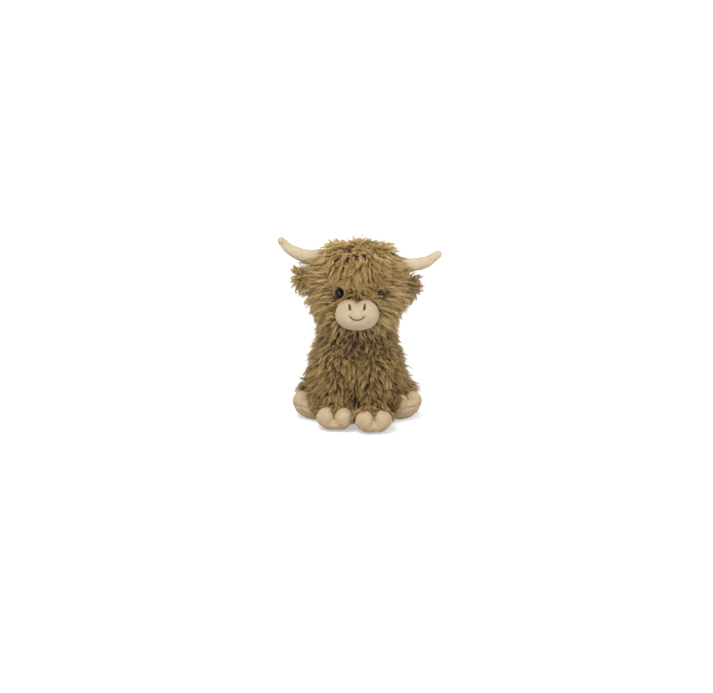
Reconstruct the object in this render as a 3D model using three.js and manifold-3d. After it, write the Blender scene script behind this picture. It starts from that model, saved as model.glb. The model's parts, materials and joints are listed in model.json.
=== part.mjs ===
// A seated, long-haired plush cow about 27 cm tall. Its body, head, ears, legs and tail are long pile
// fabric stuffed with fibre, and its horns, muzzle and hooves are short cream plush.
// Millimetres, +Z up, and the toy looks along -Y. Left and right are the toy's own, so left is +X.
// The origin is on the surface that the toy sits on, below the middle of its overall box.
// A pile solid reaches to the middle of its hair tips, because the hair itself isn't modelled here.

import * as THREE from "three";
import { mergeVertices } from "three/addons/utils/BufferGeometryUtils.js";
import Module from "manifold-3d";

const wasm = await Module();
wasm.setup();

// Fabrics and the gaps between pieces
const PILE = 10; // long pile and its backing
const PLUSH = 1.8; // short plush and its backing
const GAP = 0.35; // between pieces that are sewn or stuffed against each other
const FLOOR_FLAT = 0.5; // how deep a round form is pressed flat on the floor

// Body, and the round shoulder that the head turns and nods on
const BASE_RADIUS = 52;
const HIP_RADIUS = 71;
const HIP_HEIGHT = 36;
const CHEST_RADIUS = 65;
const CHEST_DROP = 20; // below the middle of the neck
const BODY_DEPTH_SHARE = 0.93;
const NECK_HEIGHT = 112; // the point that the head turns and nods about
const NECK_RADIUS = 57;
const NECK_CLEARANCE = 0.9; // between the shoulder and the head
const SEAM_RISE = 14; // the ladder-stitched ring's height above the middle of the neck
const SEAM_THREAD = 3; // the ring's thickness
const SEAM_CLEARANCE = 0.8;

// Seat: a short pile panel and a pouch of plastic beans above it
const SEAT_RADIUS = 44;
const SEAT_THICKNESS = 3;
const POUCH_RADIUS = 38;
const POUCH_HEIGHT = 26;

// Head. A rise is a height above the middle of the neck.
const RIM_RISE = 29; // lower edge of the head's pile
const HEAD_RADIUS = 66;
const CHEEK_RISE = 70;
const BROW_RADIUS = 62;
const BROW_RISE = 112;
const CROWN_RISE = 146;
const HEAD_DEPTH_SHARE = 0.93;
const HEAD_FORWARD = 6; // of the head's middle, in front of the neck's
const CROWN_TILT = 5; // degrees: the horns and ears lean to the toy's left
const TILT_RISE = 93; // the point that they lean about

// Forelock: a patch of longer pile over the crown and forehead
const FORELOCK_HALF_WIDTH = 30;
const FORELOCK_HALF_DEPTH = 37;
const FORELOCK_HALF_HEIGHT = 32;
const FORELOCK_FORWARD = 36;
const FORELOCK_RISE = 124;

// Muzzle, with an embroidered nose and mouth placed from its middle
const MUZZLE_HALF_WIDTH = 30;
const MUZZLE_HALF_HEIGHT = 21.5;
const MUZZLE_HALF_DEPTH = 24;
const MUZZLE_RISE = 55.5;
const MUZZLE_PROUD = 2; // of its middle past the front of the cheeks
const MUZZLE_FULLNESS = 2.25; // 2 is an ellipsoid, and more is blunter
const DIP_DEPTH = 3.2; // the pinch in the middle of its top edge
const DIP_WIDTH = 8;
const THREAD_RELIEF = 1; // how far the embroidery stands proud
const NOSTRIL_SPACING = 20.8;
const NOSTRIL_UP = 14.2;
const NOSTRIL_WIDTH = 3.8;
const NOSTRIL_LENGTH = 7.4; // as seen from straight ahead
const NOSTRIL_LEAN = 12; // degrees, apart at the top
const MOUTH_WIDTH = 20.6;
const MOUTH_DROP = 5.2; // of the smile's middle below its corners
const MOUTH_UP = 2.6; // of the corners
const MOUTH_THREAD = 1.6;

// Safety eyes with their washers. Lengths along an eye are from its flange.
const EYE_DIAMETER = 12;
const EYE_DOME = 5.2;
const EYE_FLANGE = 1;
const EYE_SPACING = 62;
const EYE_SHIFT = 3; // of their middle to the left of the muzzle's
const EYE_RISE = 82.6;
const EYE_SET_IN = 6.5; // how deep in the pile the flange sits
const EYE_TURN = 22; // degrees outwards
const SHANK_DIAMETER = 3.6;
const SHANK_LENGTH = 11;
const EYE_POCKET = 2.4; // trimmed pile round the eye
const WASHER_DIAMETER = 15;
const WASHER_THICKNESS = 2;

// Horns
const HORN_BASE_RADIUS = 11;
const HORN_TIP_RADIUS = 5.8;
const HORN_FULLNESS = 0.6; // of its taper, two thirds of the way out
const HORN_INSET = 20; // of the horn's root inside the brow
const HORN_HEM = 4; // of the skin's open hem past the root
const HORN_SPAN = 71; // sideways, from the root to the middle of the tip's ball
const HORN_OVER_BROW = 9;
const HORN_RISE = BROW_RISE + HORN_OVER_BROW;
const HORN_LIFT = 16; // of the tip over the root
const HORN_SAG = 3; // of the horn's middle below the root

// Ears
const EAR_PROUD = 2.5; // of the hinge line past the cheek
const EAR_CLEARANCE = 0.8; // round the ear's root, so that it can flap
const EAR_FLARE = 4; // how far the room for its root widens outwards
const EAR_UNDER_HORN = 34;
const EAR_RISE = HORN_RISE - EAR_UNDER_HORN;
const EAR_LENGTH = 15; // from the hinge to where the rounded rim starts
const EAR_HALF_HEIGHT = 12.5;
const EAR_ROOT_HALF_HEIGHT = 9;
const EAR_THICKNESS = 12;
const EAR_DROOP = 14; // degrees

// Front legs. A hoof's reach is its middle's distance in front of the chest.
const FRONT_LEG_RADIUS = 22;
const FRONT_ANKLE_RADIUS = 19;
const SHOULDER_SPACING = 60;
const SHOULDER_INSET = 18; // behind the front of the chest
const SHOULDER_DROP = 15; // below the middle of the neck
const KNEE_BULGE = 4;
const FRONT_HOOVES = {
  left: { across: 23, reach: 32, turn: 4 },
  right: { across: 31, reach: 20, turn: 8 },
};

// Hind legs
const THIGH_RADIUS = 30;
const HIND_ANKLE_RADIUS = 19;
const THIGH_INSET = 14; // inside the hip
const THIGH_BACK = 2;
const THIGH_HEIGHT = 30;
const HIND_LEG_LENGTH = 32; // from the thigh's middle to the hoof's
const HIND_LEG_TURN = 20; // degrees outwards
const HIND_HOOF_TURN = 38; // degrees outwards
const HIND_HOOF_PITCH = 40; // degrees, with its toes up

// Hooves: two toes parted by a pulled cleft
const HOOF_HALF_WIDTH = 26;
const HOOF_HALF_LENGTH = 22;
const HOOF_HALF_HEIGHT = 17.5;
const CLEFT_DEPTH = 6;
const CLEFT_WIDTH = 11;
const ANKLE_BACK = 13; // of the ankle behind the hoof's middle
const ANKLE_UP = 13; // of a front ankle above the hoof's middle

// Tail
const TAIL_RADIUS = 6;
const TUFT_RADIUS = 9.5;
const TAIL_HEIGHT = 54;
const TAIL_LENGTH = 36;
const TAIL_HANG = 9; // of its end behind the body

// Fineness of the round forms
const SIDES = 20;
const RINGS = 12;
const NECK_SIDES = 28;
const NECK_RINGS = 14;
const SMALL_SIDES = 12;
const SMALL_RINGS = 8;
const INNER_SIDES = 10;
const INNER_RINGS = 7;
const CAP_RINGS = 2; // in each round end of a tube

const HANDS = [
  ["left", 1],
  ["right", -1],
];
const FAR = 500; // beyond the toy, for cutting planes

const material = (color, roughness) => new THREE.MeshStandardMaterial({ color, roughness, metalness: 0 });
const LONG_PILE = material(0x8a6f45, 0.95);
const SHORT_PILE = material(0x7a6142, 0.95);
const CREAM_PLUSH = material(0xdcc8a6, 0.9);
const STUFFING = material(0xf2f0ea, 1);
const BEAN_CLOTH = material(0xe8e6df, 0.9);
const THREAD = material(0x4a3a24, 0.8);
const EYE_PLASTIC = material(0x120d10, 0.12);
const WASHER_PLASTIC = material(0xe9e9e6, 0.5);

const radians = THREE.MathUtils.degToRad;

// A closed three.js geometry as a solid that can be cut.
function solidOf(geometry) {
  const bare = geometry.clone();
  for (const name of Object.keys(bare.attributes)) {
    if (name !== "position") bare.deleteAttribute(name);
  }
  const merged = mergeVertices(bare, 1e-3);
  const corners = merged.index.array;
  const kept = [];
  for (let i = 0; i < corners.length; i += 3) {
    const [a, b, c] = corners.subarray(i, i + 3);
    if (a !== b && b !== c && c !== a) kept.push(a, b, c);
  }
  return new wasm.Manifold(
    new wasm.Mesh({
      numProp: 3,
      vertProperties: merged.attributes.position.array,
      triVerts: new Uint32Array(kept),
    }),
  );
}

// The largest piece of a cut solid as a geometry, without the crumbs that a cut can leave.
function geometryOf(solid) {
  const [whole] = solid.decompose().sort((a, b) => b.volume() - a.volume());
  const mesh = whole.getMesh();
  return new THREE.BufferGeometry()
    .setAttribute("position", new THREE.BufferAttribute(new Float32Array(mesh.vertProperties), 3))
    .setIndex(new THREE.BufferAttribute(new Uint32Array(mesh.triVerts), 1));
}

// Adds a mesh to its group, from a solid that was cut in the toy's own frame.
function addMesh(group, name, solid, surface) {
  group.updateWorldMatrix(true, false);
  const geometry = geometryOf(solid).applyMatrix4(group.matrixWorld.clone().invert());
  geometry.computeVertexNormals();
  const mesh = new THREE.Mesh(geometry, surface);
  mesh.name = name;
  group.add(mesh);
}

// A group at the point that its pieces move about, given in the toy's own frame.
function addGroup(parent, place) {
  const group = new THREE.Group();
  parent.updateWorldMatrix(true, false);
  group.position.copy(parent.worldToLocal(place.clone()));
  parent.add(group);
  return group;
}

// Moves each vertex of a geometry by a function of its place.
function shaped(geometry, move) {
  const place = new THREE.Vector3();
  const points = geometry.attributes.position;
  for (let i = 0; i < points.count; i++) {
    move(place.fromBufferAttribute(points, i));
    points.setXYZ(i, place.x, place.y, place.z);
  }
  return geometry;
}

// A stuffed form turned about Z from a smooth outline of [radius, height] that starts and ends on the
// axis, offset outwards and then flattened in depth.
function turned(outline, depthShare, offset, sides, rings) {
  const curve = new THREE.SplineCurve(outline.map(([radius, height]) => new THREE.Vector2(radius, height)));
  const profile = [];
  for (let i = 0; i <= rings; i++) {
    const point = curve.getPoint(i / rings);
    const along = curve.getTangent(i / rings);
    point.add(new THREE.Vector2(along.y, -along.x).multiplyScalar(offset));
    if (i === 0 || i === rings) point.x = 0;
    profile.push(point);
  }
  return solidOf(new THREE.LatheGeometry(profile, sides).rotateX(Math.PI / 2).scale(1, depthShare, 1));
}

// A stuffed tube with round ends. Its radius changes evenly along the path between the radii given.
function stuffedTube(path, radii, offset, sides, rings) {
  const curve = new THREE.CatmullRomCurve3(path);
  const radiusAt = (t) => {
    const i = Math.min(Math.floor(t * (radii.length - 1)), radii.length - 2);
    return THREE.MathUtils.lerp(radii[i], radii[i + 1], t * (radii.length - 1) - i) + offset;
  };
  const stations = [];
  for (let i = CAP_RINGS; i > 0; i--) stations.push({ t: 0, turn: (-i / CAP_RINGS) * (Math.PI / 2) });
  for (let i = 0; i <= rings; i++) stations.push({ t: i / rings, turn: 0 });
  for (let i = 1; i <= CAP_RINGS; i++) stations.push({ t: 1, turn: (i / CAP_RINGS) * (Math.PI / 2) });

  const side = new THREE.Vector3(0, 0, 1).cross(curve.getTangent(0));
  if (side.length() < 0.1) side.set(1, 0, 0);
  const points = [];
  for (const { t, turn } of stations) {
    const along = curve.getTangent(t);
    const up = along.clone().cross(side).normalize();
    side.copy(up).cross(along).normalize();
    const middle = curve.getPoint(t).addScaledVector(along, radiusAt(t) * Math.sin(turn));
    const atPole = Math.abs(turn) > Math.PI / 2 - 1e-6;
    const radius = atPole ? 0 : radiusAt(t) * Math.cos(turn);
    for (let k = 0; k < sides; k++) {
      const round = (k / sides) * Math.PI * 2;
      const place = middle.clone().addScaledVector(side, radius * Math.cos(round));
      points.push(place.addScaledVector(up, radius * Math.sin(round)));
    }
  }
  const faces = [];
  for (let ring = 0; ring + 1 < stations.length; ring++) {
    for (let k = 0; k < sides; k++) {
      const a = ring * sides + k;
      const b = ring * sides + ((k + 1) % sides);
      faces.push(a, b, b + sides, a, b + sides, a + sides);
    }
  }
  return solidOf(new THREE.BufferGeometry().setFromPoints(points).setIndex(faces));
}

// A block between two corners.
function block(low, high) {
  const size = high.map((value, i) => value - low[i]);
  const middle = high.map((value, i) => (value + low[i]) / 2);
  return solidOf(new THREE.BoxGeometry(...size).translate(...middle));
}

const above = (z) => block([-FAR, -FAR, z], [FAR, FAR, FAR]);
const inFrontOf = (y) => block([-FAR, -FAR, -FAR], [FAR, y, FAR]);
const behind = (y) => block([-FAR, y, -FAR], [FAR, FAR, FAR]);

// An ellipsoid with its poles on Z.
function ellipsoid(radii, middle, sides, rings) {
  const geometry = new THREE.SphereGeometry(1, sides, rings).rotateX(Math.PI / 2);
  return solidOf(geometry.scale(...radii).translate(...middle));
}

const shoulderBall = (offset) =>
  ellipsoid(Array(3).fill(NECK_RADIUS + offset), [0, 0, NECK_HEIGHT], NECK_SIDES, NECK_RINGS);

// A prism along Y through a shape drawn as seen from the front, kept in front of the muzzle's middle.
function frontPrism(shape, x, z) {
  const geometry = new THREE.ExtrudeGeometry(shape, { depth: FAR, bevelEnabled: false, curveSegments: 8 });
  return solidOf(geometry.rotateX(Math.PI / 2).translate(x, MUZZLE_MIDDLE.y, z));
}

// The forms that other pieces are cut by, each at any offset

const bodyForm = (offset, sides = SIDES, rings = RINGS) =>
  turned(
    [
      [0, -PILE - FLOOR_FLAT],
      [BASE_RADIUS * 0.6, -PILE - FLOOR_FLAT],
      [BASE_RADIUS + 6, 6],
      [HIP_RADIUS, HIP_HEIGHT],
      [CHEST_RADIUS, NECK_HEIGHT - CHEST_DROP],
      [NECK_RADIUS * 0.8, NECK_HEIGHT],
      [0, NECK_HEIGHT + 6],
    ],
    BODY_DEPTH_SHARE,
    offset,
    sides,
    rings,
  ).add(shoulderBall(offset));

const headForm = (offset, sides = SIDES, rings = RINGS) =>
  turned(
    [
      [0, RIM_RISE - 20],
      [HEAD_RADIUS * 0.62, RIM_RISE - 15],
      [HEAD_RADIUS * 0.87, RIM_RISE + 1],
      [HEAD_RADIUS, CHEEK_RISE],
      [BROW_RADIUS, BROW_RISE],
      [BROW_RADIUS * 0.72, CROWN_RISE - 9],
      [0, CROWN_RISE],
    ],
    HEAD_DEPTH_SHARE,
    offset,
    sides,
    rings,
  ).translate([0, -HEAD_FORWARD, NECK_HEIGHT]);

const CHEEK_FRONT = HEAD_FORWARD + HEAD_RADIUS * HEAD_DEPTH_SHARE;
const MUZZLE_MIDDLE = new THREE.Vector3(0, -CHEEK_FRONT - MUZZLE_PROUD, NECK_HEIGHT + MUZZLE_RISE);

function muzzleForm(offset, sides = SIDES, rings = SMALL_RINGS) {
  const geometry = new THREE.SphereGeometry(1, sides, rings).rotateX(Math.PI / 2);
  shaped(geometry, (place) => {
    const powers = place.toArray().map((value) => Math.abs(value) ** MUZZLE_FULLNESS);
    place.divideScalar((powers[0] + powers[1] + powers[2]) ** (1 / MUZZLE_FULLNESS));
    const across = place.x * MUZZLE_HALF_WIDTH;
    const dip = DIP_DEPTH * Math.max(0, place.z) * Math.exp(-(across ** 2) / DIP_WIDTH ** 2);
    place.x *= MUZZLE_HALF_WIDTH + offset;
    place.y *= MUZZLE_HALF_DEPTH + offset;
    place.z = place.z * (MUZZLE_HALF_HEIGHT + offset) - dip;
  });
  return solidOf(geometry.translate(...MUZZLE_MIDDLE.toArray()));
}

// A hoof about its middle, with its toes raised by its pitch and then turned about Z.
function hoofForm({ middle, turn, pitch }, offset) {
  const geometry = new THREE.SphereGeometry(1, SIDES, SMALL_RINGS).rotateX(Math.PI / 2);
  shaped(geometry, (place) => {
    const across = place.x * HOOF_HALF_WIDTH * 2;
    const pull = CLEFT_DEPTH * Math.max(0, -place.y) ** 0.5 * Math.exp(-(across ** 2) / CLEFT_WIDTH ** 2);
    const aboveSole = THREE.MathUtils.smoothstep(place.z, -0.9, 0);
    place.x *= HOOF_HALF_WIDTH + offset;
    place.y = place.y * (HOOF_HALF_LENGTH + offset) + pull * aboveSole;
    place.z = place.z * (HOOF_HALF_HEIGHT + offset) - 0.5 * pull * Math.max(0, place.z);
  });
  return solidOf(geometry.rotateX(-pitch).rotateZ(turn).translate(...middle.toArray()));
}

// Body: two pile panels joined at the sides, a seat panel, fibre fill and a bean pouch
function addBody(toy) {
  const aboveSeat = above(SEAT_THICKNESS + GAP);
  const pouch = (offset) =>
    turned(
      [
        [0, -SEAT_THICKNESS],
        [POUCH_RADIUS * 0.75, 0],
        [POUCH_RADIUS, SEAT_THICKNESS + POUCH_HEIGHT * 0.45],
        [POUCH_RADIUS * 0.6, SEAT_THICKNESS + POUCH_HEIGHT * 0.95],
        [0, SEAT_THICKNESS + POUCH_HEIGHT],
      ],
      BODY_DEPTH_SHARE,
      offset,
      INNER_SIDES,
      INNER_RINGS,
    ).intersect(aboveSeat);
  const seat = (offset) => {
    const radius = SEAT_RADIUS + offset;
    const top = SEAT_THICKNESS + 2 * offset;
    const panel = new THREE.CylinderGeometry(radius, radius, top, SIDES).rotateX(Math.PI / 2);
    return solidOf(panel.translate(0, 0, top / 2));
  };

  const cavity = bodyForm(-PILE, INNER_SIDES, INNER_RINGS).intersect(aboveSeat);
  const outside = bodyForm(0).intersect(above(0));
  const shell = outside.subtract(cavity).subtract(seat(GAP)).subtract(seamRing(SEAM_CLEARANCE));
  addMesh(toy, "body_front_pile", shell.intersect(inFrontOf(-GAP / 2)), LONG_PILE);
  addMesh(toy, "body_back_pile", shell.intersect(behind(GAP / 2)), LONG_PILE);
  addMesh(toy, "seat_panel", seat(0), SHORT_PILE);
  const fill = bodyForm(-PILE - GAP, INNER_SIDES, INNER_RINGS).intersect(above(SEAT_THICKNESS + 2 * GAP));
  addMesh(toy, "body_fill", fill.subtract(pouch(GAP)), STUFFING);
  addMesh(toy, "bean_pouch", pouch(0), BEAN_CLOTH);
}

// The ring of thread that closes the neck, sunk in the shoulder
function seamRing(offset) {
  const reach = NECK_RADIUS - SEAM_THREAD / 2 - GAP;
  const radius = Math.sqrt(reach ** 2 - SEAM_RISE ** 2);
  const geometry = new THREE.TorusGeometry(radius, SEAM_THREAD / 2 + offset, 6, NECK_SIDES);
  return solidOf(geometry.translate(0, 0, NECK_HEIGHT + SEAM_RISE));
}

// A form about an eye's axis, from an outline of [radius, length from the flange]
function aboutEye(side, outline) {
  const across = side * (EYE_SPACING / 2) + EYE_SHIFT;
  const surface = HEAD_RADIUS * HEAD_DEPTH_SHARE * Math.sqrt(1 - (across / HEAD_RADIUS) ** 2);
  const turn = side * radians(EYE_TURN);
  const profile = outline.map(([radius, length]) => new THREE.Vector2(radius, length));
  const geometry = new THREE.LatheGeometry(profile, SMALL_SIDES).rotateX(Math.PI).rotateZ(turn);
  const inwards = new THREE.Vector3(-Math.sin(turn), Math.cos(turn), 0).multiplyScalar(EYE_SET_IN);
  const place = new THREE.Vector3(across, -HEAD_FORWARD - surface, NECK_HEIGHT + EYE_RISE).add(inwards);
  return solidOf(geometry.translate(...place.toArray()));
}

function eyeForm(side, offset) {
  const radius = EYE_DIAMETER / 2 + offset;
  const shank = SHANK_DIAMETER / 2 + offset;
  const dome = [0.35, 0.65, 0.88].map((share) => [
    radius * Math.cos((share * Math.PI) / 2),
    (EYE_DOME + offset) * Math.sin((share * Math.PI) / 2),
  ]);
  return aboutEye(side, [
    [0, -SHANK_LENGTH - offset],
    [shank, -SHANK_LENGTH - offset],
    [shank, -EYE_FLANGE - offset],
    [radius, -EYE_FLANGE - offset],
    [radius, 0],
    ...dome,
    [0, EYE_DOME + offset],
  ]);
}

// The washer lies against the inside of the pile's backing.
function washerForm(side, offset, bore) {
  const outer = WASHER_DIAMETER / 2 + offset;
  const near = EYE_SET_IN - PILE - GAP + offset;
  const far = near - WASHER_THICKNESS - 2 * offset;
  return aboutEye(side, [
    [bore, far],
    [outer, far],
    [outer, near],
    [bore, near],
    [bore, far],
  ]);
}

function eyePocket(side) {
  const radius = EYE_DIAMETER / 2 + EYE_POCKET;
  return aboutEye(side, [
    [0, -EYE_FLANGE - GAP],
    [radius, -EYE_FLANGE - GAP],
    [radius + EYE_POCKET, 2 * PILE],
    [0, 2 * PILE],
  ]);
}

// Where the lean of the horns and ears takes a point of the upright head
function leaned(x, y, rise) {
  const up = new THREE.Vector3(x, y, rise - TILT_RISE);
  up.applyAxisAngle(new THREE.Vector3(0, 1, 0), radians(CROWN_TILT));
  return up.add(new THREE.Vector3(0, 0, NECK_HEIGHT + TILT_RISE));
}

const HORN_ROOT = BROW_RADIUS - HORN_INSET;

function hornForm(side, offset, sides, rings) {
  const path = [
    [0, 0],
    [0.4, -HORN_SAG],
    [0.76, HORN_LIFT * 0.25],
    [1, HORN_LIFT],
  ].map(([share, lift]) => leaned(side * (HORN_ROOT + HORN_SPAN * share), 0, HORN_RISE + lift));
  const middle = HORN_TIP_RADIUS + (HORN_BASE_RADIUS - HORN_TIP_RADIUS) * HORN_FULLNESS;
  const radii = [HORN_BASE_RADIUS, HORN_BASE_RADIUS - 0.6, middle, HORN_TIP_RADIUS];
  return stuffedTube(path, radii, offset, sides, rings);
}

// A horn's skin is open at its hem, inside the head, and its fill ends there.
function addHorn(head, hand, side) {
  const hem = HORN_ROOT + HORN_HEM;
  const ends = side > 0 ? [hem, FAR] : [-FAR, -hem];
  const outside = block([ends[0], -FAR, -FAR], [ends[1], FAR, FAR]);
  const skin = hornForm(side, 0, SMALL_SIDES, 6).subtract(hornForm(side, -PLUSH, INNER_SIDES, 5));
  const fill = hornForm(side, -PLUSH - GAP, INNER_SIDES, 5);
  const group = addGroup(head, leaned(side * HORN_ROOT, 0, HORN_RISE));
  addMesh(group, `horn_${hand}`, skin.intersect(outside), CREAM_PLUSH);
  addMesh(group, `horn_${hand}_fill`, fill.intersect(outside), STUFFING);
}

// Where an ear is hinged, which way its hinge line runs, and how far its leaf is turned down
function earHinge(side) {
  const droop = radians(EAR_DROOP + CROWN_TILT * side);
  return {
    place: leaned(side * (HEAD_RADIUS + EAR_PROUD), -HEAD_FORWARD, EAR_RISE),
    line: new THREE.Vector3(side * Math.sin(droop), 0, Math.cos(droop)),
    droop,
  };
}

// The room that an ear's round root needs in the head's pile, wider outwards so that the leaf can swing
function earRoom(side) {
  const { place, line, droop } = earHinge(side);
  const half = line.multiplyScalar(EAR_ROOT_HALF_HEIGHT + EAR_THICKNESS / 2);
  const outwards = new THREE.Vector3(side * Math.cos(droop), 0, -Math.sin(droop));
  const room = (out, radius) => {
    const middle = place.clone().addScaledVector(outwards, out);
    return stuffedTube([middle.clone().sub(half), middle.add(half)], [radius, radius], 0, SMALL_SIDES, 1);
  };
  const radius = EAR_THICKNESS / 2 + EAR_CLEARANCE;
  return room(0, radius).add(room(EAR_FLARE, radius + EAR_FLARE / 2));
}

// An ear: a leaf with a straight root, long pile behind and short pile in front
function addEar(head, hand, side) {
  const rim = EAR_THICKNESS / 2;
  const flat = 0.2; // between the rim's two rounded edges
  const [low, high] = [-EAR_HALF_HEIGHT, EAR_HALF_HEIGHT];
  const leaf = new THREE.Shape();
  leaf.moveTo(0, -EAR_ROOT_HALF_HEIGHT);
  leaf.bezierCurveTo(EAR_LENGTH * 0.5, low * 1.25, EAR_LENGTH, low, EAR_LENGTH, 0);
  leaf.bezierCurveTo(EAR_LENGTH, high, EAR_LENGTH * 0.5, high * 1.25, 0, EAR_ROOT_HALF_HEIGHT);
  const geometry = new THREE.ExtrudeGeometry(leaf, {
    depth: flat,
    bevelThickness: rim - flat / 2,
    bevelSize: rim - flat / 2,
    bevelSegments: 3,
    curveSegments: 5,
  });
  const { place, droop } = earHinge(side);
  geometry.translate(0, 0, -flat / 2).rotateX(Math.PI / 2).rotateY(droop);
  if (side < 0) geometry.rotateZ(Math.PI);
  const ear = solidOf(geometry.translate(...place.toArray()));
  const group = addGroup(head, place);
  const split = place.y - rim / 3;
  addMesh(group, `ear_${hand}_pile`, ear.intersect(behind(split + GAP / 2)), LONG_PILE);
  addMesh(group, `ear_${hand}_lining`, ear.intersect(inFrontOf(split - GAP / 2)), SHORT_PILE);
}

// Muzzle: a plush skin over its fill, sewn on the face, with thread standing on it
function addMuzzle(head) {
  const face = headForm(-PILE, INNER_SIDES, INNER_RINGS);
  const core = (offset) => muzzleForm(offset, SMALL_SIDES, INNER_RINGS);
  const group = addGroup(head, MUZZLE_MIDDLE);
  addMesh(group, "muzzle", muzzleForm(0).subtract(core(-PLUSH)).subtract(face), CREAM_PLUSH);
  addMesh(group, "muzzle_fill", core(-PLUSH - GAP).subtract(face), STUFFING);

  const relief = muzzleForm(GAP + THREAD_RELIEF).subtract(muzzleForm(GAP));
  for (const [hand, side] of HANDS) {
    const nostril = new THREE.Shape();
    const lean = -side * radians(NOSTRIL_LEAN);
    nostril.absellipse(0, 0, NOSTRIL_WIDTH / 2, NOSTRIL_LENGTH / 2, 0, Math.PI * 2, false, lean);
    const prism = frontPrism(nostril, (side * NOSTRIL_SPACING) / 2, MUZZLE_MIDDLE.z + NOSTRIL_UP);
    addMesh(group, `nostril_${hand}`, relief.intersect(prism), THREAD);
  }
  const radius = ((MOUTH_WIDTH / 2) ** 2 + MOUTH_DROP ** 2) / (2 * MOUTH_DROP);
  const half = Math.asin(MOUTH_WIDTH / 2 / radius);
  const down = -Math.PI / 2;
  const smile = new THREE.Shape();
  smile.absarc(0, 0, radius + MOUTH_THREAD / 2, down - half, down + half, false);
  smile.absarc(0, 0, radius - MOUTH_THREAD / 2, down + half, down - half, true);
  const prism = frontPrism(smile, 0, MUZZLE_MIDDLE.z + MOUTH_UP - MOUTH_DROP + radius);
  addMesh(group, "mouth_stitch", relief.intersect(prism), THREAD);
}

// Head: two pile panels over fibre fill, with the pieces that are sewn or fixed to them
function addHead(neck) {
  const group = addGroup(neck, new THREE.Vector3(0, 0, NECK_HEIGHT));
  const shoulder = shoulderBall(NECK_CLEARANCE);
  const cavity = headForm(-PILE, INNER_SIDES, INNER_RINGS);
  const stuffed = headForm(-PILE - GAP, INNER_SIDES, INNER_RINGS);
  const rim = NECK_HEIGHT + RIM_RISE;

  let shell = headForm(0).intersect(above(rim)).subtract(cavity).subtract(shoulder).subtract(muzzleForm(GAP));
  let fill = stuffed.intersect(above(rim + PILE)).subtract(shoulder);
  for (const [hand, side] of HANDS) {
    const horn = hornForm(side, GAP, SMALL_SIDES, 6);
    const fixed = eyeForm(side, GAP).add(washerForm(side, GAP, SHANK_DIAMETER / 4)).add(horn);
    shell = shell.subtract(fixed).subtract(eyePocket(side)).subtract(earRoom(side));
    fill = fill.subtract(fixed);
    addMesh(group, `eye_${hand}`, eyeForm(side, 0), EYE_PLASTIC);
    addMesh(group, `eye_washer_${hand}`, washerForm(side, 0, SHANK_DIAMETER / 2 + GAP), WASHER_PLASTIC);
    addHorn(group, hand, side);
    addEar(group, hand, side);
  }
  addMesh(group, "head_front_pile", shell.intersect(inFrontOf(-GAP / 2)), LONG_PILE);
  addMesh(group, "head_back_pile", shell.intersect(behind(GAP / 2)), LONG_PILE);
  addMesh(group, "head_fill", fill, STUFFING);
  addMuzzle(group);

  const forelock = ellipsoid(
    [FORELOCK_HALF_WIDTH, FORELOCK_HALF_DEPTH, FORELOCK_HALF_HEIGHT],
    [0, -FORELOCK_FORWARD, NECK_HEIGHT + FORELOCK_RISE],
    SIDES,
    SMALL_RINGS,
  );
  addMesh(group, "forelock", forelock.subtract(headForm(GAP)), LONG_PILE);
}

// A leg is a pile tube over its fill, sewn to the body, and a plush hoof over its own fill.
function addLeg(group, name, path, radii, foot) {
  const body = bodyForm(GAP);
  const outer = (offset) => stuffedTube(path, radii, offset, SMALL_SIDES, 5);
  const inner = (offset) => stuffedTube(path, radii, offset, INNER_SIDES, 4);
  const hoof = (offset) => hoofForm(foot, offset).subtract(outer(GAP)).subtract(body);
  const pile = outer(0).subtract(inner(-PILE)).subtract(body).intersect(above(GAP));
  addMesh(group, `${name}_pile`, pile, LONG_PILE);
  addMesh(group, `${name}_fill`, inner(-PILE - GAP).subtract(body), STUFFING);
  const skin = hoof(0).subtract(hoofForm(foot, -PLUSH)).intersect(above(0));
  addMesh(group, `${name}_hoof`, skin, CREAM_PLUSH);
  addMesh(group, `${name}_hoof_fill`, hoof(-PLUSH - GAP), STUFFING);
}

const CHEST_FRONT = CHEST_RADIUS * BODY_DEPTH_SHARE;

// How high a hoof's middle stands with its toes raised by a pitch
const hoofHeight = (pitch) =>
  Math.hypot(HOOF_HALF_HEIGHT * Math.cos(pitch), HOOF_HALF_LENGTH * Math.sin(pitch)) - FLOOR_FLAT;

// A front leg stands from the shoulder to its hoof, and lifts about its top.
function addFrontLeg(toy, hand, side) {
  const { across, reach, turn } = FRONT_HOOVES[hand];
  const hoof = new THREE.Vector3(side * across, -CHEST_FRONT - reach, hoofHeight(0));
  const ankle = hoof.clone().add(new THREE.Vector3(0, ANKLE_BACK, ANKLE_UP));
  const shoulder = new THREE.Vector3(
    (side * SHOULDER_SPACING) / 2,
    -CHEST_FRONT + SHOULDER_INSET,
    NECK_HEIGHT - SHOULDER_DROP,
  );
  const knee = shoulder.clone().lerp(ankle, 0.5).add(new THREE.Vector3(0, -KNEE_BULGE, 0));
  const group = addGroup(toy, shoulder.clone().add(new THREE.Vector3(0, 0, FRONT_LEG_RADIUS)));
  const radii = [FRONT_LEG_RADIUS, FRONT_ANKLE_RADIUS];
  const foot = { middle: hoof, turn: side * radians(turn), pitch: 0 };
  addLeg(group, `front_leg_${hand}`, [shoulder, knee, ankle], radii, foot);
}

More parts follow.
